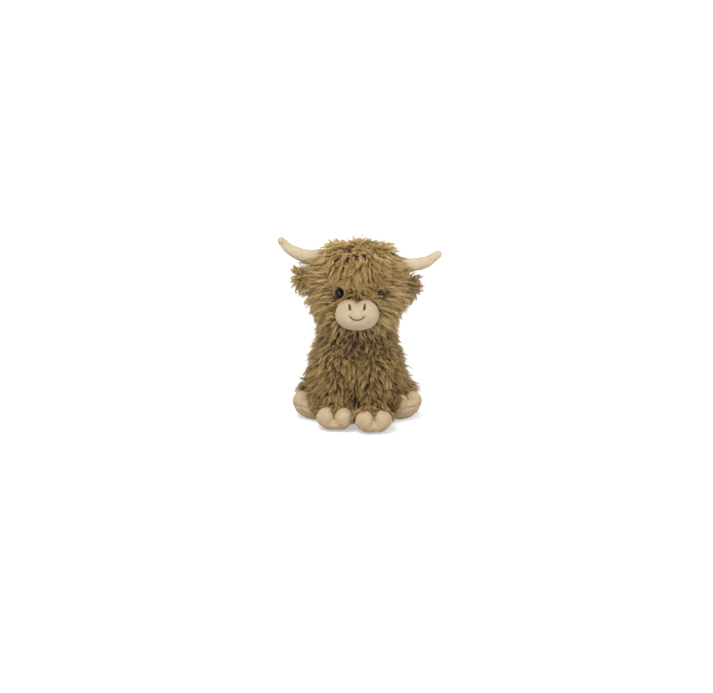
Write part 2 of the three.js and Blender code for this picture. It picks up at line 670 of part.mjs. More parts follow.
// A hind leg lies on the floor from the hip to its hoof, and lifts about the top of its thigh.
function addHindLeg(toy, hand, side) {
  const away = (degrees) => {
    const turn = radians(degrees);
    return new THREE.Vector3(side * Math.sin(turn), -Math.cos(turn), 0);
  };
  const pitch = radians(HIND_HOOF_PITCH);
  const hip = new THREE.Vector3(side * (HIP_RADIUS - THIGH_INSET), THIGH_BACK, THIGH_HEIGHT);
  const hoof = hip.clone().addScaledVector(away(HIND_LEG_TURN), HIND_LEG_LENGTH).setZ(hoofHeight(pitch));
  const ankle = hoof.clone().addScaledVector(away(HIND_HOOF_TURN), -ANKLE_BACK);
  const group = addGroup(toy, hip.clone().add(new THREE.Vector3(0, 0, THIGH_RADIUS)));
  const path = [hip, hip.clone().lerp(ankle, 0.5), ankle];
  const radii = [THIGH_RADIUS, HIND_ANKLE_RADIUS];
  const foot = { middle: hoof, turn: side * radians(HIND_HOOF_TURN), pitch };
  addLeg(group, `hind_leg_${hand}`, path, radii, foot);
}

// Tail: a pile tube sewn to the back, and its tuft
function addTail(toy) {
  const back = HIP_RADIUS * BODY_DEPTH_SHARE;
  const root = new THREE.Vector3(0, back, TAIL_HEIGHT);
  const end = new THREE.Vector3(0, back + TAIL_HANG, TAIL_HEIGHT - TAIL_LENGTH);
  const middle = root.clone().lerp(end, 0.5).add(new THREE.Vector3(0, TAIL_HANG / 3, 0));
  const tuftTop = end.clone().lerp(root, 0.25);
  const tuft = (offset) => stuffedTube([tuftTop, end], [TUFT_RADIUS * 0.8, TUFT_RADIUS], offset, 10, 2);
  const body = bodyForm(GAP);
  const tail = stuffedTube([root, middle, end], [TAIL_RADIUS, TAIL_RADIUS], 0, 10, 4);
  const group = addGroup(toy, root.clone().add(new THREE.Vector3(0, 0, TAIL_RADIUS)));
  addMesh(group, "tail", tail.subtract(body).subtract(tuft(GAP)), LONG_PILE);
  addMesh(group, "tail_tuft", tuft(0).subtract(body), LONG_PILE);
}

const toy = new THREE.Group();
addBody(toy);
const neck = addGroup(toy, new THREE.Vector3(0, 0, NECK_HEIGHT));
addMesh(neck, "neck_seam", seamRing(0), THREAD);
addHead(neck);
for (const [hand, side] of HANDS) {
  addFrontLeg(toy, hand, side);
  addHindLeg(toy, hand, side);
}
addTail(toy);

const overall = new THREE.Box3().setFromObject(toy, true);
const middle = overall.getCenter(new THREE.Vector3());
toy.position.set(-middle.x, -middle.y, -overall.min.z);

export default toy;
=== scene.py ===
"""A seated, long-haired plush cow about 27 cm tall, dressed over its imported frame.

Sizes are millimetres in the toy's own frame: it looks along -Y, its left is +X, and the middle of its neck is
over the origin. A point becomes metres in the frame's axes only when a mesh is made.
"""

import json
import logging
import math
from collections.abc import Callable, Iterable
from dataclasses import dataclass, replace
from enum import Enum
from functools import cached_property
from typing import Any

import bpy
import numpy as np
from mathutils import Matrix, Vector, noise
from mathutils.bvhtree import BVHTree
from mathutils.kdtree import KDTree


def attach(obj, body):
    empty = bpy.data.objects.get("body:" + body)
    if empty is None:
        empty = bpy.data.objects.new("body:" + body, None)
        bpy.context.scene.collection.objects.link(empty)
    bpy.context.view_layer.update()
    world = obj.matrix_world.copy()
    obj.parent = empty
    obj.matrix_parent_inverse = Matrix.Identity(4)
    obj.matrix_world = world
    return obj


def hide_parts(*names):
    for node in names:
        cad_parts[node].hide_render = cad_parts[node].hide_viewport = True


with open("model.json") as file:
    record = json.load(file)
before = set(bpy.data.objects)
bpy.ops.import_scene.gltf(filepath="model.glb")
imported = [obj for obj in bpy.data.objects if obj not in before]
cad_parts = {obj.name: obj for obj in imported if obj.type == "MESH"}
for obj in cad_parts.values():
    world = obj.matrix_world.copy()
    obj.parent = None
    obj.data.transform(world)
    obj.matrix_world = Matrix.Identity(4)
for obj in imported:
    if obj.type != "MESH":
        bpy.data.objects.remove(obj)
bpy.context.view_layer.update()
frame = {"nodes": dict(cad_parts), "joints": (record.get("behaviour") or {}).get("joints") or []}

logging.basicConfig(level=logging.INFO, format="%(message)s")
LOG = logging.getLogger("plush_cow")

Array = np.ndarray
Flow = Callable[[Array, Array], Array]
Choice = Callable[[Array, Array], Array]
Tone = Callable[[Array], Array]

MM = 0.001
NECK_HEIGHT = 112.0  # the point that the head turns and nods about
NECK_JOINT = next(joint for joint in frame["joints"] if joint["name"] == "neck_turn")
UP = np.array([0.0, 0.0, 1.0])
ORIGIN = np.array(NECK_JOINT["pos_m"]) - NECK_HEIGHT * MM * UP


class Hand(Enum):
    """The toy's own left and right."""

    LEFT = "left"
    RIGHT = "right"

    @property
    def side(self) -> int:
        """1 towards +X, and -1 towards -X."""
        return 1 if self is Hand.LEFT else -1


class Slot(Enum):
    """The record's material slots, but for the eye washers', which keep their own solids."""

    LONG_PILE = "long_pile"
    SHORT_PILE = "short_pile"
    CREAM_PLUSH = "cream_plush"
    THREAD = "thread"
    EYE_PLASTIC = "eye_plastic"


# Numbers and vectors


def unit(vectors: Array) -> Array:
    """The vectors at length 1."""
    return vectors / np.maximum(np.linalg.norm(vectors, axis=-1, keepdims=True), 1e-9)


def eased(values: Array, low: float, high: float) -> Array:
    """0 below low, 1 above high, and a smooth rise between them."""
    share = np.clip((values - low) / (high - low), 0.0, 1.0)
    return share * share * (3.0 - 2.0 * share)


def vector_of(x: Any, y: Any, z: Any, like: Array) -> Array:
    """Vectors whose parts are numbers or arrays as long as another array."""
    return np.stack([np.broadcast_to(part, len(like)) for part in (x, y, z)], axis=1).astype(float)


def swell(points: Array, size: float, seed: float = 0.0) -> Array:
    """Smooth noise from about -1 to 1 at points, with lumps about as wide as size."""
    shift = Vector((seed, -seed, 2.0 * seed))
    return np.array([noise.noise(Vector(point / size) + shift) for point in points])


def spline(knots: Array, count: int) -> Array:
    """Points on a smooth curve through knots, which is how the frame's outlines are drawn.

    Args:
        knots: The points that it goes through.
        count: How many points to return.

    Returns:
        The points, from the first knot to the last.
    """
    knots = np.asarray(knots, float)
    padded = np.vstack([knots[:1], knots, knots[-1:]])
    place = np.linspace(0.0, len(knots) - 1.0, count)
    first = np.minimum(place.astype(int), len(knots) - 2)
    t = (place - first)[:, None]
    before, start, end, after = (padded[first + i] for i in range(4))
    leaving, arriving = (end - before) / 2.0, (after - start) / 2.0
    cubic = (2.0 * (start - end) + leaving + arriving) * t**3
    return cubic + (3.0 * (end - start) - 2.0 * leaving - arriving) * t**2 + leaving * t + start


def evenly(line: Array, count: int) -> Array:
    """The same line as count points at even distances."""
    steps = np.linalg.norm(np.diff(line, axis=0), axis=1)
    travelled = np.concatenate([[0.0], np.cumsum(steps)])
    wanted = np.linspace(0.0, travelled[-1], count)
    return np.stack([np.interp(wanted, travelled, line[:, axis]) for axis in range(line.shape[1])], axis=1)


def turned_about_x(points: Array, degrees: float) -> Array:
    """The points turned about the X axis."""
    cosine, sine = math.cos(math.radians(degrees)), math.sin(math.radians(degrees))
    x, y, z = points.T
    return np.stack([x, y * cosine - z * sine, y * sine + z * cosine], axis=1)


def turned_about_z(points: Array, degrees: float) -> Array:
    """The points turned about the Z axis."""
    cosine, sine = math.cos(math.radians(degrees)), math.sin(math.radians(degrees))
    x, y, z = points.T
    return np.stack([x * cosine - y * sine, x * sine + y * cosine, z], axis=1)


# Surfaces


@dataclass
class Skin:
    """A closed surface of triangles."""

    points: Array
    faces: Array

    @classmethod
    def from_rows(cls, rows: Array, start: Array, end: Array) -> "Skin":
        """A skin of closed rows of points between two end points.

        Args:
            rows: The rows, as an array of rows by points by 3.
            start: The point that the first row closes on.
            end: The point that the last row closes on.

        Returns:
            The skin, wound so that its faces look outwards.
        """
        count, sides, _ = rows.shape
        points = np.vstack([rows.reshape(-1, 3), start, end])
        k = np.arange(sides)
        after = (k + 1) % sides
        row = np.arange(count - 1)[:, None] * sides
        a, b = row + k, row + after
        quads = np.stack([a, b, b + sides, a, b + sides, a + sides], axis=-1).reshape(-1, 3)
        last = (count - 1) * sides
        first_fan = np.stack([after, k, np.full(sides, count * sides)], axis=1)
        last_fan = np.stack([last + k, last + after, np.full(sides, count * sides + 1)], axis=1)
        faces = np.vstack([first_fan, quads, last_fan])
        corners = points[faces]
        volume = np.einsum("ij,ij->i", corners[:, 0], np.cross(corners[:, 1], corners[:, 2])).sum()
        return cls(points, faces if volume > 0.0 else faces[:, ::-1])

    def rewound(self, sides: int) -> "Skin":
        """The same rows of points, wound again, because a move may have mirrored them."""
        rows = self.points[:-2].reshape(-1, sides, 3)
        return Skin.from_rows(rows, self.points[-2], self.points[-1])

    @classmethod
    def joined(cls, skins: Iterable["Skin"]) -> "Skin":
        """Several skins as the islands of one."""
        points, faces, count = [], [], 0
        for skin in skins:
            points.append(skin.points)
            faces.append(skin.faces + count)
            count += len(skin.points)
        return cls(np.vstack(points), np.vstack(faces))

    def tree(self) -> BVHTree:
        """A search tree of the faces."""
        return BVHTree.FromPolygons(self.points.tolist(), self.faces.tolist())

    def depth_of(self, points: Array) -> tuple[Array, Array, Array]:
        """Where points are over the skin.

        Args:
            points: The points to look up.

        Returns:
            For each point its height over the nearest face, that face's normal, and the nearest place on it.
        """
        tree = self.tree()
        found = [tree.find_nearest(point) for point in points.tolist()]
        places = np.array([place for place, _, _, _ in found]).reshape(-1, 3)
        normals = np.array([normal for _, normal, _, _ in found]).reshape(-1, 3)
        return np.einsum("ij,ij->i", points - places, normals), normals, places

    def scattered(self, spacing: float, rng: np.random.Generator) -> tuple[Array, Array]:
        """Evenly scattered places on the skin.

        Args:
            spacing: About how far apart they are.
            rng: The random numbers to use.

        Returns:
            The places and the outward normals there.
        """
        corners = self.points[self.faces]
        cross = np.cross(corners[:, 1] - corners[:, 0], corners[:, 2] - corners[:, 0])
        areas = np.linalg.norm(cross, axis=1) / 2.0
        count = int(5.0 * areas.sum() / spacing**2)
        chosen = rng.choice(len(areas), count, p=areas / areas.sum())
        u, v = rng.random((2, count, 1))
        over = u + v > 1.0
        u, v = np.where(over, 1.0 - u, u), np.where(over, 1.0 - v, v)
        a, b, c = (corners[chosen, i] for i in range(3))
        places = a + (b - a) * u + (c - a) * v
        finder = KDTree(count)
        for i, place in enumerate(places):
            finder.insert(place, i)
        finder.balance()
        open_places = np.ones(count, bool)
        kept = []
        for i in range(count):
            if open_places[i]:
                kept.append(i)
                near = [index for _, index, _ in finder.find_range(places[i], spacing * 0.8)]
                open_places[near] = False
        return places[kept], unit(cross[chosen])[kept]


def revolved(profile: Array, depth_shares: Array | float, sides: int) -> Skin:
    """A skin turned about Z.

    Args:
        profile: Its outline as radius and height, from end to end on the axis.
        depth_shares: Its depth over its width, for all points of the outline or for each.
        sides: How many points go round it.

    Returns:
        The skin.
    """
    turn = np.linspace(0.0, 2.0 * math.pi, sides, endpoint=False)
    inner = profile[1:-1]
    shares = np.broadcast_to(depth_shares, len(profile))[1:-1, None]
    x = inner[:, :1] * np.cos(turn)
    y = inner[:, :1] * np.sin(turn) * shares
    z = np.broadcast_to(inner[:, 1:], x.shape)
    ends = [[0.0, 0.0, profile[i, 1]] for i in (0, -1)]
    return Skin.from_rows(np.stack([x, y, z], axis=-1), *np.array(ends))


def offset_outline(knots: list[tuple[float, float]], offset: float, count: int) -> Array:
    """The frame's outline of radius and height, moved outwards by offset, as evenly spaced points."""
    curve = spline(np.array(knots), 400)
    along = unit(np.gradient(curve, axis=0))
    moved = curve + offset * np.stack([along[:, 1], -along[:, 0]], axis=1)
    moved[:, 0] = np.maximum(moved[:, 0], 0.0)
    moved[[0, -1], 0] = 0.0
    return evenly(moved, count)


def tube(path: Array, radii: Iterable[float], sides: int, rows: int, flatness: float = 1.0) -> Skin:
    """A tube with round ends along a smooth path.

    Args:
        path: The points that it goes through.
        radii: Its radius at even steps along the path.
        sides: How many points go round it.
        rows: How many rows of points it has between its round ends.
        flatness: Its height over its width.

    Returns:
        The skin.
    """
    line = evenly(spline(np.asarray(path), 200), rows)
    radii = list(radii)
    widths = np.interp(np.linspace(0.0, 1.0, rows), np.linspace(0.0, 1.0, len(radii)), radii)
    along = unit(np.gradient(line, axis=0))
    side = np.cross(UP, along[0])
    side = side if np.linalg.norm(side) > 0.1 else np.array([1.0, 0.0, 0.0])
    turn = np.linspace(0.0, 2.0 * math.pi, sides, endpoint=False)[:, None]
    cap = np.linspace(0.0, math.pi / 2.0, 7)[1:-1]
    stations = [(0, -angle) for angle in cap[::-1]] + [(i, 0.0) for i in range(rows)]
    stations += [(rows - 1, angle) for angle in cap]
    made = []
    for i, angle in stations:
        up = unit(np.cross(along[i], side))
        side = unit(np.cross(up, along[i]))
        middle = line[i] + along[i] * widths[i] * math.sin(angle)
        around = np.cos(turn) * side + flatness * np.sin(turn) * up
        made.append(middle + widths[i] * math.cos(angle) * around)
    ends = line[0] - along[0] * widths[0], line[-1] + along[-1] * widths[-1]
    return Skin.from_rows(np.array(made), *ends)


def globe(sides: int, rows: int) -> Skin:
    """A unit sphere with its poles on Z."""
    angle = np.linspace(-math.pi / 2.0, math.pi / 2.0, rows + 2)
    return revolved(np.stack([np.cos(angle), np.sin(angle)], axis=1), 1.0, sides)


CLOTH_SCALE = 10.0  # the solver suits pieces as big as a cushion, so a hoof is simulated ten times larger
CLOTH_STEPS = 20
LEAST_HOLD = 0.01  # a stitch that holds a point less than this is left out


def stuffed(skin: Skin, held: Array, slack: float, cap: float) -> None:
    """Stuffs a fabric skin: simulates it as cloth with pressure inside, held at its stitches.

    Args:
        skin: The skin, whose points are moved.
        held: How firmly stitches hold each point, from 0 to 1.
        slack: The share by which the fabric is larger than its form, which puckers it at its stitches.
        cap: The furthest that a point may move.
    """
    scene = bpy.context.scene
    middle = skin.points.mean(axis=0)
    start = (skin.points - middle) * MM * CLOTH_SCALE
    mesh = bpy.data.meshes.new("cloth")
    mesh.from_pydata(start.tolist(), [], skin.faces.tolist())
    fabric = bpy.data.objects.new("cloth", mesh)
    scene.collection.objects.link(fabric)
    stitches = fabric.vertex_groups.new(name="stitches")
    for index in np.flatnonzero(held > LEAST_HOLD).tolist():
        stitches.add([index], float(held[index]), "REPLACE")
    cloth = fabric.modifiers.new("cloth", "CLOTH")
    cloth.point_cache.frame_end = CLOTH_STEPS
    cloth.collision_settings.use_collision = False
    settings = cloth.settings
    settings.quality = 6
    settings.mass = 0.3
    settings.tension_stiffness = settings.compression_stiffness = 15.0
    settings.shear_stiffness = 5.0
    settings.bending_stiffness = 0.2
    settings.use_pressure = True
    settings.uniform_pressure_force = 4.0
    settings.effector_weights.gravity = 0.0
    settings.vertex_group_mass = "stitches"
    settings.shrink_min = -slack
    for step in range(1, CLOTH_STEPS + 1):
        scene.frame_set(step)
    ends = np.empty(start.size, np.float32)
    fabric.evaluated_get(bpy.context.evaluated_depsgraph_get()).data.vertices.foreach_get("co", ends)
    moves = (ends.reshape(-1, 3) - start) / (MM * CLOTH_SCALE)
    lengths = np.linalg.norm(moves, axis=1)
    skin.points = skin.points + moves * np.minimum(1.0, cap / np.maximum(lengths, 1e-9))[:, None]
    bpy.data.objects.remove(fabric)
    bpy.data.meshes.remove(mesh)
    scene.frame_set(1)
    LOG.info("stuffed %d points, which moved %.1f mm at most", len(start), lengths.max())


# Finishes


def linear(code: str) -> tuple[float, float, float, float]:
    """An sRGB hex colour as the linear colour that a shader takes."""
    parts = [int(code[i : i + 2], 16) / 255.0 for i in (1, 3, 5)]
    red, green, blue = (p / 12.92 if p <= 0.04045 else ((p + 0.055) / 1.055) ** 2.4 for p in parts)
    return red, green, blue, 1.0


def add(
    tree: bpy.types.NodeTree, kind: str, settings: dict[Any, Any], links: dict[Any, Any]
) -> bpy.types.Node:
    """Adds a node.

    Args:
        tree: The node tree that it goes into.
        kind: Blender's name for the node's type.
        settings: Its properties and unlinked sockets. "stops" are a colour ramp's places and hex colours.
        links: For each linked socket, the other node's output.

    Returns:
        The new node.
    """
    node = tree.nodes.new(kind)
    for key, value in settings.items():
        if key == "stops":
            stops = node.color_ramp.elements
            while len(stops) < len(value):
                stops.new(1.0)
            for stop, (place, code) in zip(stops, value):
                stop.position, stop.color = place, linear(code)
        elif isinstance(key, str) and hasattr(node, key):
            setattr(node, key, value)
        else:
            node.inputs[key].default_value = value
    for key, output in links.items():
        tree.links.new(output, node.inputs[key])
    return node


STRAIGHT_WAVE = 20.0  # radians by which the wave texture turns in one unit along an axis
DIAGONAL_WAVE = 10.0 * math.sqrt(3.0)  # and across its diagonal bands


def wave_scale(spacing_mm: float, turn: float) -> float:
    """The wave texture's scale for crests at a spacing in millimetres, where it turns by turn in one unit."""
    return 2.0 * math.pi / (turn * spacing_mm * MM)


@dataclass(frozen=True)
class Finish:
    """A surface finish, which makes one material and keeps it."""

    name: str

    def material(self) -> bpy.types.Material:
        """The finish's material, made when it is first asked for."""
        made = bpy.data.materials.get(self.name)
        if made is None:
            made = bpy.data.materials.new(self.name)
            made.use_nodes = True
            self.dress(made.node_tree, made.node_tree.nodes["Principled BSDF"])
        return made

    def dress(self, tree: bpy.types.NodeTree, shader: bpy.types.Node) -> None:
        """Sets the shader and adds the nodes before it."""
        raise NotImplementedError


STRAND_MAP = "OFBake"  # across it is a strand's tone, and up it is the way from root to tip


@dataclass(frozen=True)
class LongPile(Finish):
    """Long-pile faux fur of polyester, brushed and tumbled into locks.

    It gives the eye matt, slightly silky hair: each lock is a shade of its own, and each strand darkens
    towards its root with painted shade, for the shade deep in the pile, and is pale at the tip.
    """

    shades: tuple[tuple[float, str], ...] = (
        (0.0, "#A38664"),
        (0.14, "#BF9F7A"),
        (0.2, "#94733C"),
        (0.5, "#C19E5C"),
        (0.8, "#D9B976"),
        (1.0, "#ECD39C"),
    )
    # painted shade: each strand darkens towards its root, standing in for the shade deep in the pile
    painted_root_shade: tuple[tuple[float, str], ...] = (
        (0.0, "#6E6253"),
        (0.4, "#C4BCAE"),
        (0.85, "#FFFFFF"),
    )
    roughness: float = 0.5
    ior: float = 1.53

    def dress(self, tree: bpy.types.NodeTree, shader: bpy.types.Node) -> None:
        """Colours each strand by its tone, and darkens it towards its root with painted shade."""
        strand = add(tree, "ShaderNodeUVMap", {"uv_map": STRAND_MAP}, {})
        parts = add(tree, "ShaderNodeSeparateXYZ", {}, {0: strand.outputs[0]})
        shade = add(tree, "ShaderNodeValToRGB", {"stops": self.shades}, {0: parts.outputs["X"]})
        depth = add(tree, "ShaderNodeValToRGB", {"stops": self.painted_root_shade}, {0: parts.outputs["Y"]})
        mixed = {"data_type": "RGBA", "blend_type": "MULTIPLY", 0: 1.0}
        colour = add(tree, "ShaderNodeMix", mixed, {6: shade.outputs[0], 7: depth.outputs[0]})
        tree.links.new(colour.outputs[2], shader.inputs["Base Color"])
        shader.inputs["Roughness"].default_value = self.roughness
        shader.inputs["IOR"].default_value = self.ior
        shader.inputs["Sheen Weight"].default_value = 0.15
        shader.inputs["Sheen Roughness"].default_value = 0.4


@dataclass(frozen=True)
class KnitBacking(Finish):
    """The warp-knitted polyester ground that the pile stands in.

    It gives the eye only a darker floor between the locks: it is coloured darker than the pile, as painted
    shade in the gaps, and darker still in the troughs of its ribs.
    """

    # painted shade: coloured darker than the pile so that the gaps between the locks look shaded
    low: str = "#674F2C"
    high: str = "#846740"
    loop_mm: float = 0.79  # from one row of the knit's loops to the next

    def dress(self, tree: bpy.types.NodeTree, shader: bpy.types.Node) -> None:
        """Colours the ribs of the knit, with painted shade in their troughs, and raises them."""
        where = add(tree, "ShaderNodeTexCoord", {}, {})
        scale = wave_scale(self.loop_mm, STRAIGHT_WAVE)
        ribs = {"Scale": scale, "Distortion": 1.5, "bands_direction": "Z"}
        knit = add(tree, "ShaderNodeTexWave", ribs, {"Vector": where.outputs["Object"]}).outputs["Fac"]
        stops = [(0.0, self.low), (1.0, self.high)]
        colour = add(tree, "ShaderNodeValToRGB", {"stops": stops}, {0: knit})
        raised = add(tree, "ShaderNodeBump", {"Strength": 0.5, "Distance": 0.3 * MM}, {"Height": knit})
        tree.links.new(colour.outputs[0], shader.inputs["Base Color"])
        tree.links.new(raised.outputs[0], shader.inputs["Normal"])
        shader.inputs["Roughness"].default_value = 0.95


@dataclass(frozen=True)
class ShortPlush(Finish):
    """Short-pile plush, velboa, of polyester with a sheared 1.5 mm nap.

    It gives the eye a matt, powdery surface with a pale rim and fine fuzz, painted shade between the tufts,
    and faint painted sheen and shade in patches where the nap leans another way.
    """

    low: str = "#C9B99B"
    high: str = "#D6C7AA"
    # painted shade: the colour is multiplied by this between the tufts of the nap, where shade falls
    shade_between_tufts: str = "#C4BCB0"  # multiplies the colour there
    # painted sheen and shade: lighter and darker patches where the nap leans another way
    mottle_mm: float = 7.0  # patches where the nap leans another way
    fuzz_mm: float = 0.45  # tufts of the nap, which are 0.2 mm, drawn coarser so that they show

    def dress(self, tree: bpy.types.NodeTree, shader: bpy.types.Node) -> None:
        """Mottles the colour with painted sheen and shade, paints shade between the tufts and raises them."""
        where = add(tree, "ShaderNodeTexCoord", {}, {}).outputs["Object"]
        coarse = {"Scale": 1.0 / (self.mottle_mm * MM), "Detail": 3.0, "Roughness": 0.6}
        mottle = add(tree, "ShaderNodeTexNoise", coarse, {"Vector": where}).outputs["Fac"]
        fine = {"Scale": 1.0 / (self.fuzz_mm * MM), "Detail": 2.0, "Roughness": 0.7}
        fuzz = add(tree, "ShaderNodeTexNoise", fine, {"Vector": where}).outputs["Fac"]
        stops = [(0.3, self.low), (0.7, self.high)]
        lean = add(tree, "ShaderNodeValToRGB", {"stops": stops}, {0: mottle})
        stops = [(0.25, self.shade_between_tufts), (0.6, "#FFFFFF")]
        depth = add(tree, "ShaderNodeValToRGB", {"stops": stops}, {0: fuzz})
        mixed = {"data_type": "RGBA", "blend_type": "MULTIPLY", 0: 1.0}
        colour = add(tree, "ShaderNodeMix", mixed, {6: lean.outputs[0], 7: depth.outputs[0]})
        soft = add(tree, "ShaderNodeBump", {"Strength": 0.35, "Distance": 0.6 * MM}, {"Height": mottle})
        raised = {"Height": fuzz, "Normal": soft.outputs[0]}
        tufts = add(tree, "ShaderNodeBump", {"Strength": 0.6, "Distance": 0.35 * MM}, raised)
        tree.links.new(colour.outputs[2], shader.inputs["Base Color"])
        tree.links.new(tufts.outputs[0], shader.inputs["Normal"])
        shader.inputs["Roughness"].default_value = 0.92
        shader.inputs["Sheen Weight"].default_value = 0.2
        shader.inputs["Sheen Roughness"].default_value = 0.5
        shader.inputs["Sheen Tint"].default_value = linear(self.high)


@dataclass(frozen=True)
class PolishedPlastic(Finish):
    """Injection-moulded ABS out of a polished mould.

    It gives the eye a deep, nearly black colour under a sharp highlight, with the faint waviness of the
    moulding.
    """

    deep: str = "#0E0A0D"
    glint: str = "#22161F"
    cloud_mm: float = 3.0
    roughness: float = 0.1
    gloss: float = 0.18

    def dress(self, tree: bpy.types.NodeTree, shader: bpy.types.Node) -> None:
        """Clouds the colour a little and leaves a faint waviness in the gloss."""
        where = add(tree, "ShaderNodeTexCoord", {}, {}).outputs["Object"]
        size = {"Scale": 1.0 / (self.cloud_mm * MM), "Detail": 2.0}
        cloud = add(tree, "ShaderNodeTexNoise", size, {"Vector": where}).outputs["Fac"]
        stops = [(0.35, self.deep), (0.75, self.glint)]
        colour = add(tree, "ShaderNodeValToRGB", {"stops": stops}, {0: cloud})
        wave = add(tree, "ShaderNodeBump", {"Strength": 0.05, "Distance": 0.1 * MM}, {"Height": cloud})
        tree.links.new(colour.outputs[0], shader.inputs["Base Color"])
        tree.links.new(wave.outputs[0], shader.inputs["Normal"])
        shader.inputs["Roughness"].default_value = self.roughness
        shader.inputs["IOR"].default_value = 1.54
        shader.inputs["Specular IOR Level"].default_value = self.gloss


@dataclass(frozen=True)
class TwistedThread(Finish):
    """Two-ply polyester thread. It gives the eye a silky line with a fine diagonal twist."""

    # painted shade: the thread is darker in the grooves between its plies
    low: str = "#3A2A18"
    high: str = "#5E4528"
    twist_mm: float = 0.38  # from one ply's ridge to the next

    def dress(self, tree: bpy.types.NodeTree, shader: bpy.types.Node) -> None:
        """Colours the plies of the thread, with painted shade in the grooves between them, and raises them.
        """
        where = add(tree, "ShaderNodeTexCoord", {}, {}).outputs["Object"]
        plies = {"Scale": wave_scale(self.twist_mm, DIAGONAL_WAVE), "bands_direction": "DIAGONAL"}
        twist = add(tree, "ShaderNodeTexWave", plies, {"Vector": where}).outputs["Fac"]
        stops = [(0.0, self.low), (1.0, self.high)]
        colour = add(tree, "ShaderNodeValToRGB", {"stops": stops}, {0: twist})
        raised = add(tree, "ShaderNodeBump", {"Strength": 0.4, "Distance": 0.15 * MM}, {"Height": twist})
        tree.links.new(colour.outputs[0], shader.inputs["Base Color"])
        tree.links.new(raised.outputs[0], shader.inputs["Normal"])
        shader.inputs["Roughness"].default_value = 0.42
        shader.inputs["Sheen Weight"].default_value = 0.2


FUR = LongPile("polyester_long_pile")
BACKING = KnitBacking("warp_knit_backing")
CREAM = ShortPlush("cream_velboa")
# partly painted shade: the muzzle's and hooves' plush are darker copies of the cream plush, for the shade at
# the muzzle's edges and under the hooves' band
SHADED_MUZZLE_CREAM = ShortPlush("shaded_muzzle_velboa", low="#BBAA8C", high="#C9B99C")
SHADED_HOOF_CREAM = ShortPlush("shaded_hoof_velboa", low="#BBA382", high="#CAB490")
SEAT_PILE = ShortPlush("brown_velboa", low="#6E5536", high="#866B45")
EYE_GLOSS = PolishedPlastic("polished_black_abs")
WASHER = PolishedPlastic("natural_polypropylene", deep="#D8D6CE", glint="#E6E4DE", roughness=0.45)
BROWN_THREAD = TwistedThread("brown_polyester_thread")


# Pieces


def mesh_of(name: str, skin: Skin, maps: Array | None = None) -> bpy.types.Mesh:
    """A Blender mesh of a skin.

    Args:
        name: The mesh's name.
        skin: The skin, in the toy's frame.
        maps: Each point's place in the strand map, if it has one.

    Returns:
        The mesh, in metres in the frame's axes.
    """
    mesh = bpy.data.meshes.new(name)
    corners = skin.faces.ravel()
    mesh.vertices.add(len(skin.points))
    mesh.vertices.foreach_set("co", (skin.points * MM + ORIGIN).astype(np.float32).ravel())
    mesh.loops.add(len(corners))
    mesh.loops.foreach_set("vertex_index", corners.astype(np.int32))
    mesh.polygons.add(len(skin.faces))
    mesh.polygons.foreach_set("loop_start", np.arange(0, len(corners), skin.faces.shape[1], dtype=np.int32))
    mesh.polygons.foreach_set("use_smooth", np.ones(len(skin.faces), bool))
    if maps is not None:
        layer = mesh.uv_layers.new(name=STRAND_MAP)
        layer.data.foreach_set("uv", maps[corners].astype(np.float32).ravel())
    mesh.update()
    mesh.validate()
    return mesh


@dataclass
class Piece:
    """One piece of the toy: what it is called, moves with, is finished in and stands for."""

    name: str
    body: str
    finish: Finish
    slot: Slot
    stands_for: tuple[str, ...] = ()
    fill: float | None = None  # how tightly it is stuffed, if it is

    def made_from(self, skin: Skin, maps: Array | None = None) -> bpy.types.Object:
        """Makes the piece's object.

        Args:
            skin: Its surface.
            maps: Each point's place in the strand map, if it has one.

        Returns:
            The object, riding on its body.
        """
        made = bpy.data.objects.new(self.name, mesh_of(self.name, skin, maps))
        bpy.context.scene.collection.objects.link(made)
        made.data.materials.append(self.finish.material())
        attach(made, self.body)
        if self.stands_for:
            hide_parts(*self.stands_for)
        LOG.info("%s: %d faces on %s", self.name, len(skin.faces), self.body)
        return made


# Fur

STEPS = 5  # points along a strand
SIDES = 3  # of a strand
GUIDE_STEPS = 6  # steps along a lock
MOST_STRANDS = 8900  # in one piece, which keeps it under 200,000 triangles
TAPER = np.array([0.8, 1.0, 0.9, 0.62])  # a strand's thickness at each point but its tip
SIDE_TONES = (-0.006, 0.0, 0.006)  # by which a strand's sides differ, so each face has a width in the map
MAP_EDGES = (0.005, 0.995), (0.01, 0.99)  # the part of the map that strands may use, across it and up it
FLOOR_GAP = 0.1  # under a strand that lies on the floor


@dataclass(frozen=True)
class Coat:
    """How one region of the pile grows.

    Lengths are millimetres. A real strand is 0.05 mm thick, and is drawn as coarse as it needs to show.
    """

    length: float
    spacing: float = 4.0  # between locks
    strands: int = 9  # in a lock
    thickness: float = 0.6
    uneven: float = 0.28  # share by which the locks' lengths differ
    root_lift: float = 76.0  # degrees over the backing
    tip_lift: float = 14.0
    ruffle: float = 13.0  # degrees by which locks differ in their lift
    follow: float = 0.5  # how far a lock's tip leaves the surface to go its own way
    gather: float = 0.78  # how far a lock draws together at its tip
    loose: float = 0.12  # share of the strands that stay out of their lock
    wave: float = 1.0
    wave_length: float = 14.0
    scatter: float = 0.9  # by which a strand's tip is blown aside
    swirl: float = 44.0  # degrees by which the pile turns from its lay, in patches
    stray: float = 18.0  # degrees by which a lock does
    patch: float = 17.0  # how wide those patches are
    lock_shade: float = 0.09  # by which locks differ in tone
    strand_shade: float = 0.06  # by which the strands of a lock do


